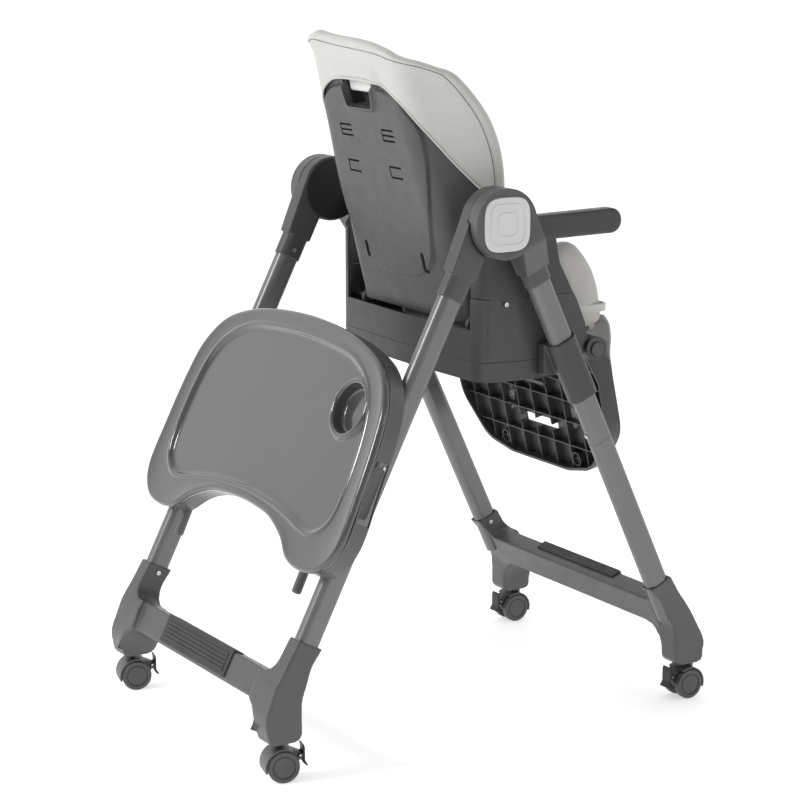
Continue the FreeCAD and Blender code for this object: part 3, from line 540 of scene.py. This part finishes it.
def between(table, at):
    """Row of a table at a value of its first column, with smooth changes."""
    if at <= table[0][0]:
        return table[0][1:]
    for i in range(len(table) - 1):
        if at <= table[i + 1][0]:
            rows = [table[min(max(i + k, 0), len(table) - 1)] for k in (-1, 0, 1, 2)]
            span = rows[2][0] - rows[1][0]
            t = (at - rows[1][0]) / span
            made = []
            for column in range(1, len(rows[0])):
                slopes = []
                for a, b, c in ((rows[0], rows[1], rows[2]), (rows[1], rows[2], rows[3])):
                    wide = c[0] - a[0]
                    slopes.append((c[column] - a[column]) / wide * span if wide else 0.0)
                p, q = rows[1][column], rows[2][column]
                made.append((2 * t ** 3 - 3 * t * t + 1) * p + (t ** 3 - 2 * t * t + t) * slopes[0]
                            + (3 * t * t - 2 * t ** 3) * q + (t ** 3 - t * t) * slopes[1])
            return tuple(made)
    return table[-1][1:]


def back_local(t, height, out):
    """Point on the backrest's U section: t runs -1 to 1 from wing edge to wing edge."""
    rear, wing, depth = between(BACK_SECTIONS, height)
    slant = math.hypot(wing - rear, depth)
    run = abs(t) * (rear + slant)
    way = ((wing - rear) / slant, -depth / slant)
    bend = min(CORNER, 0.6 * slant, 0.6 * rear)
    if run <= rear - bend:
        x, y, tangent = run, 0.0, (1.0, 0.0)
    elif run >= rear + bend:
        x, y, tangent = rear + (run - rear) * way[0], (run - rear) * way[1], way
    else:
        share = (run - rear + bend) / (2 * bend)
        a, b = (1 - share) ** 2, share ** 2
        x = rear - a * bend + b * bend * way[0]
        y = b * bend * way[1]
        tangent = (1 - share + share * way[0], share * way[1])
        size = math.hypot(*tangent)
        tangent = (tangent[0] / size, tangent[1] / size)
    x -= tangent[1] * out
    y += tangent[0] * out
    return Vector((math.copysign(x, t), y + BACK_FACE, height))


def hood_top(t):
    """Height of the hood's rim across the back."""
    return between(RIM, t)[0]


def on_back(local):
    """From the backrest's own frame to the chair."""
    return RECLINE + Matrix.Rotation(-LEAN, 3, "X") @ local


def back_prism(outline, low, high):
    """A cutter through the back: outline in width and height, low to high in depth."""
    return tower([[on_back(Vector((x, y, z))) for x, z in outline] for y in (low, high)])


def back_shell():
    """Moulded shell: smooth wings, raised panel, strap slots and a framed handle opening."""
    panel = rounded_outline([(-x, z) for x, z in PANEL] + PANEL[::-1])
    lip = filleted(SURROUND, 0.009)
    columns, rows = 201, 181
    outer, inner = [], []
    for i in range(rows):
        for j in range(columns):
            t = -1 + 2 * j / (columns - 1)
            top = min(BACK_TOP, hood_top(t) - 0.014)
            height = BACK_LOW + (top - BACK_LOW) * i / (rows - 1)
            flat = back_local(t, height, 0.0)
            raised = 0.0
            if abs(flat.x) < 0.15 and height > 0.05:
                raised = 0.0052 * smooth_step(depth_inside(flat.x, height, panel), -0.0018, 0.0018)
                raised += 0.0046 * smooth_step(depth_inside(flat.x, height, lip), -0.0022, 0.0016)
            outer.append(on_back(back_local(t, height, raised)))
            inner.append(on_back(back_local(t, height, -WALL)))
    faces = strips(rows, columns)
    count = rows * columns
    faces += [tuple(count + k for k in reversed(face)) for face in strips(rows, columns)]
    border = ([j for j in range(columns)] + [i * columns + columns - 1 for i in range(1, rows)]
              + [count - 1 - j for j in range(1, columns)] + [i * columns for i in range(rows - 2, 0, -1)])
    for a, b in zip(border, border[1:] + border[:1]):
        faces.append((b, a, count + a, count + b))
    shell = outward(mesh_of(outer + inner, faces))
    cutters = []
    low, high = BACK_FACE - 0.03, BACK_FACE + 0.03

    tip, root, spine = SLOT_COMB
    tall = SLOT_PITCH + SLOT_HALF
    for middle, bars in SLOT_ROWS:
        for x in (SLOT_X, -SLOT_X):
            comb = [(x + spine, middle - tall), (x + spine, middle + tall)]
            for k in bars:
                up, down = middle + SLOT_PITCH * k + SLOT_HALF, middle + SLOT_PITCH * k - SLOT_HALF
                comb += [(x + root, up), (x + tip, up), (x + tip, down), (x + root, down)]
            cutters.append(back_prism(comb, low, high))
    centre, half, bottom, top = LAP_SLOT
    for x in (centre, -centre):
        ends = [(x - half, bottom), (x + half, bottom), (x + half, top), (x - half, top)]
        cutters.append(back_prism(filleted(ends, 0.0044), low, high))
    opening = filleted(HANDLE, 0.006)
    cutters.append(back_prism(opening, low, high))
    shell = cut_by(shell, outward(merged(cutters)))
    link("back_shell", shell, "shell_plastic", "backrest", "backrest_shell")
    outer_wall, inner_wall = filleted(POCKET_OUT, 0.006), filleted(POCKET_IN, 0.005)
    pocket = [[on_back(Vector((x, y, z))) for x, z in line]
              for line, y in ((outer_wall, BACK_FACE - WALL), (outer_wall, BACK_FACE - 0.026),
                              (inner_wall, BACK_FACE - 0.0245), (inner_wall, BACK_FACE - WALL))]
    count = len(opening)
    points = [p for ring in pocket for p in ring]
    faces = strips(2, count, True) + strips(2, count, True, 2 * count)
    faces += [tuple(range(count, 2 * count)), tuple(range(2 * count, 3 * count))]
    link("handle_pocket", outward(mesh_of(points, faces)), "shell_plastic", "backrest")
    lugs = []
    for side in (1, -1):
        rings = []
        for x, radius in ((0.1515, 0.0125), (0.1525, 0.0138), (0.1595, 0.0138), (0.1605, 0.0125)):
            rings.append([RECLINE + Vector((side * x, radius * math.cos(a), radius * math.sin(a)))
                          for a in (k * math.pi / 20 for k in range(40))])
        lugs.append(tower(rings))
    link("hinge_lugs", merged(lugs), "shell_plastic", "backrest")


def hood_point(t, height, out):
    """Point of the hood in the chair, out from the backrest's U section."""
    return on_back(back_local(t, height, out))


def hood():
    """Padded cover: lines the front, rolls over the rim and hangs down the back to its hem."""
    columns, low_rows, high_rows, roll = 131, 46, 74, 7
    edge = between(HEM, 1.0)[0]
    ts = [-1 + 2 * j / (columns - 1) for j in range(columns)]

    def outer_offset(t, height):
        place = back_local(t, height, 0)
        over_handle = 0.0050 * smooth_step(0.075 - abs(place.x), 0, 0.02)
        over_handle *= smooth_step(0.405 - height, -0.008, 0.012)
        near_rim = smooth_step(abs(t), 0.75, 1.0) * 0.0020
        fold = noise.noise(Vector((place.x * 16, place.y * 16, height * 11))) * 0.0016
        return 0.0050 + over_handle + near_rim + fold

    def inner_offset(t, height):
        place = back_local(t, height, 0)
        edge_gap = min((1 - abs(t)) * 0.24, hood_top(t) - height, height - BACK_LOW + 0.01)
        pad = 0.006 + 0.0135 * math.sqrt(smooth_step(edge_gap, 0.0, 0.035))
        seam = abs(abs(place.x) - 0.125)
        pad -= 0.006 * math.exp(-(seam / 0.0045) ** 2) * smooth_step(edge_gap, 0.0, 0.02)
        brow = abs(height - 0.345 - 0.02 * math.cos(t * 2.2))
        pad -= 0.004 * math.exp(-(brow / 0.004) ** 2) * smooth_step(edge_gap, 0.0, 0.03)
        pillow = smooth_step(0.098 - abs(place.x), 0, 0.035)
        pillow *= smooth_step(0.062 - abs(height - 0.366), 0, 0.028)
        crease = noise.noise(Vector((place.x * 14 + 5, place.y * 14, height * 12))) * 0.0016
        return -(WALL + 0.0012 + pad + 0.0125 * pillow + crease)

    points, outer_rows = [], []
    for i in range(high_rows):
        share = i / (high_rows - 1)
        row = []
        for t in ts:
            start = between(HEM, abs(t))[0]
            height = start + (hood_top(t) - start) * share
            row.append(len(points))
            points.append(hood_point(t, height, outer_offset(t, height)))
        outer_rows.append(row)
    heights = [BACK_LOW + 0.004 + (edge - BACK_LOW - 0.004) * i / low_rows for i in range(low_rows)]
    heights += [edge + (HOOD_TOP - edge) * i / (high_rows - 1) for i in range(high_rows)]

    def rise(t, i):
        """Height of an inner row: the rows above the hem follow the rim."""
        share = max(0, i - low_rows) / (high_rows - 1)
        return heights[i] + (hood_top(t) - HOOD_TOP) * share

    inner_rows = []
    for i in range(len(heights)):
        row = []
        for t in ts:
            row.append(len(points))
            points.append(hood_point(t, rise(t, i), inner_offset(t, rise(t, i))))
        inner_rows.append(row)
    faces = []
    for rows, flip in ((outer_rows, False), (inner_rows, True)):
        for low, high in zip(rows, rows[1:]):
            for j in range(columns - 1):
                face = (low[j], low[j + 1], high[j + 1], high[j])
                faces.append(face[::-1] if flip else face)
    # the roll over the rim: up one side, along the top and down the other
    stops = [(0, i) for i in range(len(heights))] + [(j, len(heights) - 1) for j in range(1, columns - 1)]
    stops += [(columns - 1, i) for i in reversed(range(len(heights)))]
    previous = None
    for j, i in stops:
        t, height = ts[j], rise(ts[j], i)
        inside = points[inner_rows[i][j]]
        top = i == len(heights) - 1
        joined = i >= low_rows
        if joined:
            outside = points[outer_rows[i - low_rows][j]]
        else:
            outside = hood_point(t, height, 0.0035)
        middle, half = (inside + outside) / 2, (outside - inside) / 2
        forward = Vector((0, 0, 0))
        if abs(t) == 1:
            forward += hood_point(t * 1.02, height, 0) - hood_point(t, height, 0)
        if top:
            forward += hood_point(t, height, 0) - hood_point(t, height - 0.01, 0)
        square = forward - half * (forward.dot(half) / half.length_squared)
        forward = square.normalized() * half.length * 0.85
        chain = [inner_rows[i][j]]
        for k in range(1, roll):
            angle = math.pi * k / roll
            chain.append(len(points))
            points.append(middle - half * math.cos(angle) + forward * math.sin(angle))
        if joined:
            chain.append(outer_rows[i - low_rows][j])
        else:
            chain.append(len(points))
            points.append(outside)
        if previous:
            for k in range(roll):
                faces.append((previous[k], chain[k], chain[k + 1], previous[k + 1]))
        previous = chain
    sheet = mesh_of(points, faces)
    work = bmesh.new()
    work.from_mesh(sheet)
    bmesh.ops.remove_doubles(work, verts=work.verts, dist=1e-5)
    bmesh.ops.recalc_face_normals(work, faces=work.faces)
    work.to_mesh(sheet)
    work.free()
    middle_point = hood_point(0.0, 0.42, 0.2)
    nearest = min(sheet.polygons, key=lambda f: (f.center - middle_point).length)
    if nearest.normal.dot(middle_point - nearest.center) < 0:
        sheet.flip_normals()
    sheet = settled(sheet, ("SMOOTH", {"factor": 0.5, "iterations": 3}),
                    ("SOLIDIFY", {"thickness": 0.0022, "offset": -1.0}))
    cover = link("hood_cover", sheet, "cover_leatherette", "backrest", "backrest_cover")
    hem_line = [hood_point(t, between(HEM, abs(t))[0] + 0.0035, outer_offset(t, 0.3) + 0.0004)
                for t in ts[2:-2]]
    stitches("hood_stitches", hem_line, "backrest", 0.0042)
    seam = [(-SEAM_SIDE, 0.19 + (hood_top(-SEAM_SIDE) - 0.197) * k / 30) for k in range(30)]
    across = [2 * SEAM_SIDE * k / 90 - SEAM_SIDE for k in range(91)]
    seam += [(t, hood_top(t) - SEAM_DROP) for t in across]
    seam += [(SEAM_SIDE, 0.19 + (hood_top(SEAM_SIDE) - 0.197) * k / 30) for k in reversed(range(30))]
    rope("hood_seam", [hood_point(t, height, outer_offset(t, height) + 0.0001) for t, height in seam], 0.0007,
         "webbing", "backrest", 6)
    rope("hood_binding", [hood_point(t, between(HEM, abs(t))[0] + 0.0005,
                                     outer_offset(t, between(HEM, abs(t))[0]) - 0.0004)
                          for t in ts], 0.0019, "cover_leatherette", "backrest")


def rope(name, line, radius, slot, body, sides=8):
    """A thin round bead along a line."""
    mesh = tube_along(line, radius, sides)
    return link(name, mesh, slot, body)


def tube_along(line, radius, sides=8, flat=1.0):
    rings = []
    normal = None
    for i, point in enumerate(line):
        tangent = (line[min(i + 1, len(line) - 1)] - line[max(i - 1, 0)]).normalized()
        if normal is None:
            normal = tangent.orthogonal().normalized()
        normal = (normal - tangent * normal.dot(tangent)).normalized()
        other = tangent.cross(normal)
        rings.append([point + (normal * math.cos(a) + other * math.sin(a) * flat) * radius
                      for a in (2 * math.pi * k / sides for k in range(sides))])
    return tower(rings)


def stitches(name, line, body, spacing, thread=0.00045, slot="pad_leatherette"):
    """A row of short thread stitches laid along a line."""
    lengths, total = [0.0], 0.0
    for a, b in zip(line, line[1:]):
        total += (b - a).length
        lengths.append(total)

    def at(run):
        for i in range(len(line) - 1):
            if run <= lengths[i + 1]:
                return line[i].lerp(line[i + 1], (run - lengths[i]) / max(1e-9, lengths[i + 1] - lengths[i]))
        return line[-1]

    pieces, run = [], 0.0
    while run + spacing * 0.7 < total:
        a, b = at(run), at(run + spacing * 0.68)
        pieces.append(tube_along([a, a.lerp(b, 0.5), b], thread, 5))
        run += spacing
    return link(name, merged(pieces), slot, body)


# --- padding ---
def inset_ring(outline, amount):
    """2D outline moved inwards along its normals; the outline runs anticlockwise."""
    made = []
    for i, (x, y) in enumerate(outline):
        (ax, ay), (bx, by) = outline[i - 1], outline[(i + 1) % len(outline)]
        size = math.hypot(bx - ax, by - ay) or 1.0
        made.append((x - (by - ay) / size * amount, y + (bx - ax) / size * amount))
    return made


def turning(outline):
    return sum(ax * by - bx * ay for (ax, ay), (bx, by) in zip(outline, outline[1:] + outline[:1]))


def pad_mesh(outline, low, high, edge, place):
    """Closed pad: an outline with thickness from low to high and round edges."""
    if turning(outline) < 0:
        outline = outline[::-1]
    rings, steps = [], 4
    for k in range(steps + 1):
        angle = math.pi / 2 * k / steps
        rings.append((edge * (1 - math.sin(angle)), low + edge * (1 - math.cos(angle))))
    rings += [(inset, low + high - depth) for inset, depth in reversed(rings)]
    return tower([[place(x, y, depth) for x, y in inset_ring(outline, inset)] for inset, depth in rings])


def ribbon(line, side, width, thick):
    """Flat strap along a line; side is the direction of its width."""
    rings = []
    for i, point in enumerate(line):
        tangent = (line[min(i + 1, len(line) - 1)] - line[max(i - 1, 0)]).normalized()
        across = (side - tangent * side.dot(tangent)).normalized()
        up = tangent.cross(across)
        half, edge = width / 2, thick / 2
        rings.append([point + across * a + up * b for a, b in (
            (-half, 0), (-half + edge, edge), (0, edge), (half - edge, edge),
            (half, 0), (half - edge, -edge), (0, -edge), (-half + edge, -edge))])
    return tower(rings)


def dimple(mesh, line, deep, wide, push):
    """Presses a sewn channel into a pad along a line; push is the way in."""
    for vertex in mesh.vertices:
        near = min((vertex.co - p).length for p in line)
        if near < wide * 3:
            vertex.co += push * (deep * math.exp(-(near / wide) ** 2))


SEAT_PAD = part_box("seat_pad")
BOLSTER = [(-0.062, 0.604), (-0.060, 0.668), (-0.096, 0.690), (-0.128, 0.716), (-0.148, 0.744),
           (-0.184, 0.752), (-0.214, 0.722), (-0.232, 0.690), (-0.243, 0.645), (-0.243, 0.604)]
BOLSTER_SPAN = (0.1725, 0.1975)
ACROSS = Vector((1, 0, 0))
STRAP_WIDE, STRAP_THICK = 0.022, 0.0017


def seat_padding():
    """Seat cushion with a front roll, a bolster each side, hem bands and stitches."""
    low, high = SEAT_PAD
    base = rounded_outline([(low.x + 0.002, -0.236), (high.x - 0.002, -0.236),
                            (high.x - 0.002, -0.064), (low.x + 0.002, -0.064)], 2)
    top = 0.631
    cushion = pad_mesh(base, low.z - 0.009, top, 0.012, lambda x, y, z: Vector((x, y, z)))
    rings = []
    for k in range(15):
        x = -0.181 + 0.362 * k / 14
        shrink = math.sqrt(max(0.12, 1 - (abs(x) / 0.186) ** 8))
        rings.append([Vector((x, -0.2395 + 0.016 * shrink * math.cos(math.tau * n / 28),
                              0.6105 + 0.022 * shrink * math.sin(math.tau * n / 28))) for n in range(28)])
    soft = puffed(merged([cushion, tower(rings)]), 3.0, 0.006, 0.005)
    for y in (-0.112, -0.165):
        channel = [Vector((x * 0.01, y, top + 0.006)) for x in range(-17, 18)]
        dimple(soft, channel, 0.007, 0.006, Vector((0, 0, -1)))
    seat = link("seat_cushion", soft, "cover_leatherette", "seat", "seat_pad")
    for side, name in ((1, "left"), (-1, "right")):
        outline = rounded_outline(BOLSTER, 2)
        a, b = sorted((side * BOLSTER_SPAN[0], side * BOLSTER_SPAN[1]))
        mesh = pad_mesh(outline, a, b, 0.009, lambda y, z, x: Vector((x, y, z)))
        mesh = puffed(mesh, 3.0, 0.005, 0.005)
        bolster = link("bolster_" + name, mesh, "pad_leatherette", "seat", "seat_pad")
        out = side * (BOLSTER_SPAN[1] + 0.0035)
        inner = side * (BOLSTER_SPAN[0] - 0.003)
        front = -0.2475
        turn = side * 0.010
        loop = [(inner, -0.20), (inner, front + 0.012), (inner + turn, front), (out - turn, front),
                (out, front + 0.012), (out, -0.16), (out, -0.075)]
        line = [Vector((p[0], p[1], 0.6405)) for p in curve_through([(x, y, 0) for x, y in loop], 8)]
        band = ribbon(line, Vector((0, 0, 1)), 0.013, 0.0024)
        link("bolster_band_" + name, band, "cover_leatherette", "seat")
        stitches("bolster_stitches_" + name,
                 [p + Vector((0, 0, 0.0045)) + (p - Vector((side * 0.185, -0.16, p.z))).normalized() * 0.0013
                  for p in line], "seat", 0.0042)


def back_padding():
    """Crowned cushion against the liner, with sewn channels, on the backrest."""
    outline = rounded_outline([(-0.116, 0.034), (0.116, 0.034), (0.122, 0.20), (0.112, 0.318),
                               (-0.112, 0.318), (-0.122, 0.20)], 2)
    back, front = BACK_FACE - 0.0275, BACK_FACE - 0.047
    mesh = pad_mesh(outline, front, back, 0.008, lambda x, z, y: on_back(Vector((x, y, z))))
    mesh = puffed(mesh, 3.5, 0.006, 0.005)
    inward = on_back(Vector((0, 1, 0))) - on_back(Vector((0, 0, 0)))
    for z in (0.115, 0.205):
        line = [on_back(Vector((x * 0.01, front - 0.004, z))) for x in range(-11, 12)]
        dimple(mesh, line, 0.008, 0.006, inward)
    pad = link("back_cushion", mesh, "pad_leatherette", "backrest", "backrest_pad")


def cover_bridge():
    """Fabric that joins the seat cushion to the back cover, laid in one curve past the recline hinge."""
    upper = ((0.0300, 0.060), (0.0325, 0.030), (0.0345, 0.012))
    path = [on_back(Vector((0, BACK_FACE - y, z))) for y, z in upper]
    path += [Vector((0, -0.0565, 0.6290)), Vector((0, -0.0800, 0.6300))]
    fabric = ribbon(curve_through(path, 8), ACROSS, 0.290, 0.0020)
    bridge = link("cover_bridge", fabric, "pad_leatherette", None)
    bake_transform(bridge)


LEGREST = Vector(JOINTS["legrest_lift"]["pos_m"])
LEGREST_LEAN = math.radians(12.0)
LEG_CHANNEL = -0.128            # height of the sewn channel across the legrest pad
# half width, low and high edge of the holes for the footplate and its lower slot
LEG_HOLES = [(0.082, -0.104, -0.082), (0.094, -0.200, -0.151)]
LEG_FACE = [(-0.202, -0.050), (0.202, -0.050), (0.202, -0.140), (0.186, -0.178), (0.148, -0.208),
            (0.090, -0.222), (-0.090, -0.222), (-0.148, -0.208), (-0.186, -0.178), (-0.202, -0.140)]


def on_legrest(x, y, z):
    return LEGREST + Matrix.Rotation(-LEGREST_LEAN, 3, "X") @ Vector((x, y, z))


def legrest_padding():
    """Pad on the front of the legrest, cut out round the footplate and its lower slot."""
    face = rounded_outline(LEG_FACE, 2)
    mesh = pad_mesh(face, -0.0405, -0.0250, 0.0075, lambda x, z, y: on_legrest(x, y, z))
    mesh = puffed(mesh, 3.0, 0.004, 0.005)
    channel = [on_legrest(x * 0.01, -0.043, LEG_CHANNEL) for x in range(-19, 20)]
    dimple(mesh, channel, 0.006, 0.005, on_legrest(0, 1, 0) - on_legrest(0, 0, 0))
    holes = []
    for half, low, high in LEG_HOLES:
        outline = rounded_outline([(-half, low), (half, low), (half, high), (-half, high)], 2)
        holes.append(tower([[on_legrest(x, y, z) for x, z in outline] for y in (-0.08, 0.0)]))
    mesh = cut_by(outward(mesh), merged(holes))
    pad = link("legrest_cushion", mesh, "cover_leatherette", "legrest", "legrest_pad")


def front_apron():
    """Fabric that hangs from the seat's front roll to the legrest pad, laid in one curve past the legrest
    hinge.
    """
    path = [Vector((0, -0.2440, 0.6260)), Vector((0, -0.2535, 0.6120)), Vector((0, -0.2570, 0.5900)),
            Vector((0, -0.2560, 0.5650))]
    path += [on_legrest(0, -0.0400, -0.045), on_legrest(0, -0.0385, -0.070)]
    fabric = ribbon(curve_through(path, 10), ACROSS, 0.398, 0.0034)
    apron = link("front_apron", fabric, "pad_leatherette", None)
    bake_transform(apron)


def harness():
    """Five-point webbing: two shoulder straps, two lap straps and a crotch strap."""
    buckle_low, buckle_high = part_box("harness_buckle")
    middle = (buckle_low + buckle_high) / 2
    face = BACK_FACE - 0.0545
    for side, name in ((1, "left"), (-1, "right")):
        over = [on_back(Vector((side * 0.055, y, z))) for y, z in
                ((face + 0.016, 0.302), (face + 0.001, 0.296), (face - 0.003, 0.262), (face - 0.003, 0.19))]
        path = over + [Vector((side * 0.050, -0.062, 0.772)), Vector((side * 0.036, -0.098, 0.734)),
                       Vector((side * 0.020, middle.y + 0.005, buckle_high.z - 0.003)),
                       Vector((side * 0.019, middle.y + 0.003, buckle_high.z - 0.008))]
        strap = ribbon(curve_through(path, 10), ACROSS, STRAP_WIDE, STRAP_THICK)
        piece = link("shoulder_strap_" + name, strap, "webbing", None, "shoulder_straps")
        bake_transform(piece)
        lap = [Vector((side * 0.170, -0.082, 0.638)), Vector((side * 0.150, -0.086, 0.648)),
               Vector((side * 0.105, -0.103, 0.662)), Vector((side * 0.060, -0.122, 0.678)),
               Vector((side * 0.030, middle.y + 0.002, 0.692)), Vector((side * 0.016, middle.y, 0.694))]
        lap_band = ribbon(curve_through(lap, 10), Vector((0, 0.25, 1)), STRAP_WIDE, STRAP_THICK)
        link("lap_strap_" + name, lap_band, "webbing", "seat", "lap_harness")
        slider = []
        for z in (0.232, 0.222, 0.212):
            bar = [on_back(Vector((side * 0.055 + x, face - 0.0055, z))) for x in (-0.014, 0.0, 0.014)]
            slider.append(tube_along(bar, 0.0017, 10))
        for x in (-0.014, 0.014):
            slider.append(tube_along([on_back(Vector((side * 0.055 + x, face - 0.0055, z)))
                                      for z in (0.231, 0.222, 0.213)], 0.0017, 10))
        link("strap_slider_" + name, merged(slider), "black_plastic", "backrest")
    crotch = [Vector((0, -0.166, 0.631)), Vector((0, -0.158, 0.642)), Vector((0, -0.144, 0.660)),
              Vector((0, middle.y, buckle_low.z + 0.006))]
    crotch_band = ribbon(curve_through(crotch, 10), ACROSS, 0.028, 0.0019)
    link("crotch_strap", crotch_band, "webbing", "seat", "lap_harness")


# --- tray ---
TRAY_AT = Vector((0, 0.1957, 0.4432))
TRAY_TILT = math.radians(25.0)
# right halves of the outline and of the ridge inside it, from top to bottom, and their necks
TRAY_HALF = [(0, 0.184), (0.100, 0.179), (0.180, 0.166), (0.247, 0.140), (0.288, 0.092), (0.303, 0.030),
             (0.310, -0.050), (0.311, -0.125), (0.282, -0.165), (0.235, -0.176), (0.188, -0.169),
             (0.150, -0.143), (0.100, -0.123), (0.050, -0.116)]
TRAY_NECK = (0, -0.114)
RIDGE_HALF = [(0, 0.158), (0.092, 0.154), (0.160, 0.145), (0.214, 0.121), (0.248, 0.084), (0.265, 0.030),
              (0.271, -0.042), (0.266, -0.088), (0.247, -0.112), (0.222, -0.123), (0.190, -0.121),
              (0.150, -0.112), (0.100, -0.104), (0.050, -0.100)]
RIDGE_NECK = (0, -0.098)
# profile of the insert from its underside to its floor: line it follows, inset from it, height
OUTER_PROFILE = [(0.0120, 0.0478), (0.0060, 0.0476), (0.0000, 0.0478), (-0.0014, 0.0490), (-0.0018, 0.0515),
                 (-0.0016, 0.0545), (-0.0006, 0.0565), (0.0012, 0.0578), (0.0038, 0.0585), (0.0068, 0.0582),
                 (0.0096, 0.0574)]
RIDGE_PROFILE = [(-0.0066, 0.0562), (-0.0048, 0.0563), (-0.0030, 0.0572), (-0.0008, 0.0579), (0.0014, 0.0575),
                 (0.0034, 0.0560), (0.0050, 0.0538), (0.0068, 0.0521), (0.0095, 0.0513), (0.0130, 0.0510),
                 (0.0150, 0.0510)]
CUP = (-0.200, 0.070)
CUP_HOLE = 0.0470
CUP_PROFILE = [(0.030, 0.0353), (0.0355, 0.0356), (0.0390, 0.0375), (0.0402, 0.0420), (0.0405, 0.0478),
               (0.0490, 0.0484), (0.0512, 0.0508), (0.0500, 0.0517), (0.0486, 0.0535), (0.0474, 0.0558),
               (0.0455, 0.0572), (0.0430, 0.0577), (0.0408, 0.0573), (0.0392, 0.0560), (0.0384, 0.0538),
               (0.0378, 0.0460), (0.0370, 0.0400), (0.0352, 0.0378), (0.0320, 0.0370), (0.030, 0.0369)]


def on_tray(u, v, n):
    return TRAY_AT + Vector((u, n * math.cos(TRAY_TILT) - v * math.sin(TRAY_TILT),
                             n * math.sin(TRAY_TILT) + v * math.cos(TRAY_TILT)))


def tray_ring(half, neck, inset, n):
    """Closed ring at a distance inside one of the tray's two lines."""
    whole = half + [neck] + [(-u, v) for u, v in half[:0:-1]]
    line = curve_through([(u, v, 0) for u, v in whole], 12, closed=True)
    return [on_tray(u, v, n) for u, v in inset_ring([(-p.x, p.y) for p in line], inset)]


def tray_insert():
    """Glossy insert: rolled rim, a second ridge round a sunken floor, and a ringed cup well."""
    rings = [tray_ring(TRAY_HALF, TRAY_NECK, inset, n) for inset, n in OUTER_PROFILE]
    rings += [tray_ring(RIDGE_HALF, RIDGE_NECK, inset, n) for inset, n in RIDGE_PROFILE]
    slab = tower(rings)
    circle = [(math.cos(a), math.sin(a)) for a in (math.tau * k / 72 for k in range(72))]

    def round_the_cup(profile):
        return tower([[on_tray(CUP[0] + r * c, CUP[1] + r * s, n) for c, s in circle] for r, n in profile])

    slab = cut_by(slab, round_the_cup([(CUP_HOLE, 0.04), (CUP_HOLE, 0.07)]))
    cup = round_the_cup(CUP_PROFILE)
    link("tray_top", merged([slab, cup]), "tray_plastic", "tray_insert", "tray_insert")


# --- mouldings ---
def button_rings():
    """Plain rings on the face of each fold button."""
    for name in ("fold_button_left", "fold_button_right"):
        low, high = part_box(name)
        middle, half = (low + high) / 2, (high - low) / 2
        face = high.x if middle.x > 0 else low.x
        rings = []
        for share, corner in ((0.74, 0.014), (0.42, 0.009)):
            square = [(-half.y * share, -half.z * share), (half.y * share, -half.z * share),
                      (half.y * share, half.z * share), (-half.y * share, half.z * share)]
            line = [Vector((face, middle.y + y, middle.z + z)) for y, z in filleted(square, corner)]
            rings.append(tube_along(line + line[:2], 0.0007, 8))
        link(name + "_rings", merged(rings), "button_plastic", name)


def soften(names, voxel, passes):
    """Rounds the arrises of hard mouldings without moving them."""
    for name in names:
        cad = frame["nodes"][name]
        for face in cad.data.polygons:
            face.use_smooth = True
        remesh = cad.modifiers.new("round", "REMESH")
        remesh.mode, remesh.voxel_size, remesh.use_smooth_shade = "VOXEL", voxel, True
        smooth = cad.modifiers.new("ease", "SMOOTH")
        smooth.factor, smooth.iterations = 0.5, passes


set_stage()
set_camera()
dress_frame()
back_shell()
hood()
seat_padding()
back_padding()
cover_bridge()
legrest_padding()
front_apron()
harness()
tray_insert()
button_rings()
soften(["front_base", "rear_base"], 0.0020, 6)
soften(["rear_hub_left", "rear_hub_right", "height_sleeve_left",
        "height_sleeve_right", "armrest_left", "armrest_right"], 0.0014, 4)
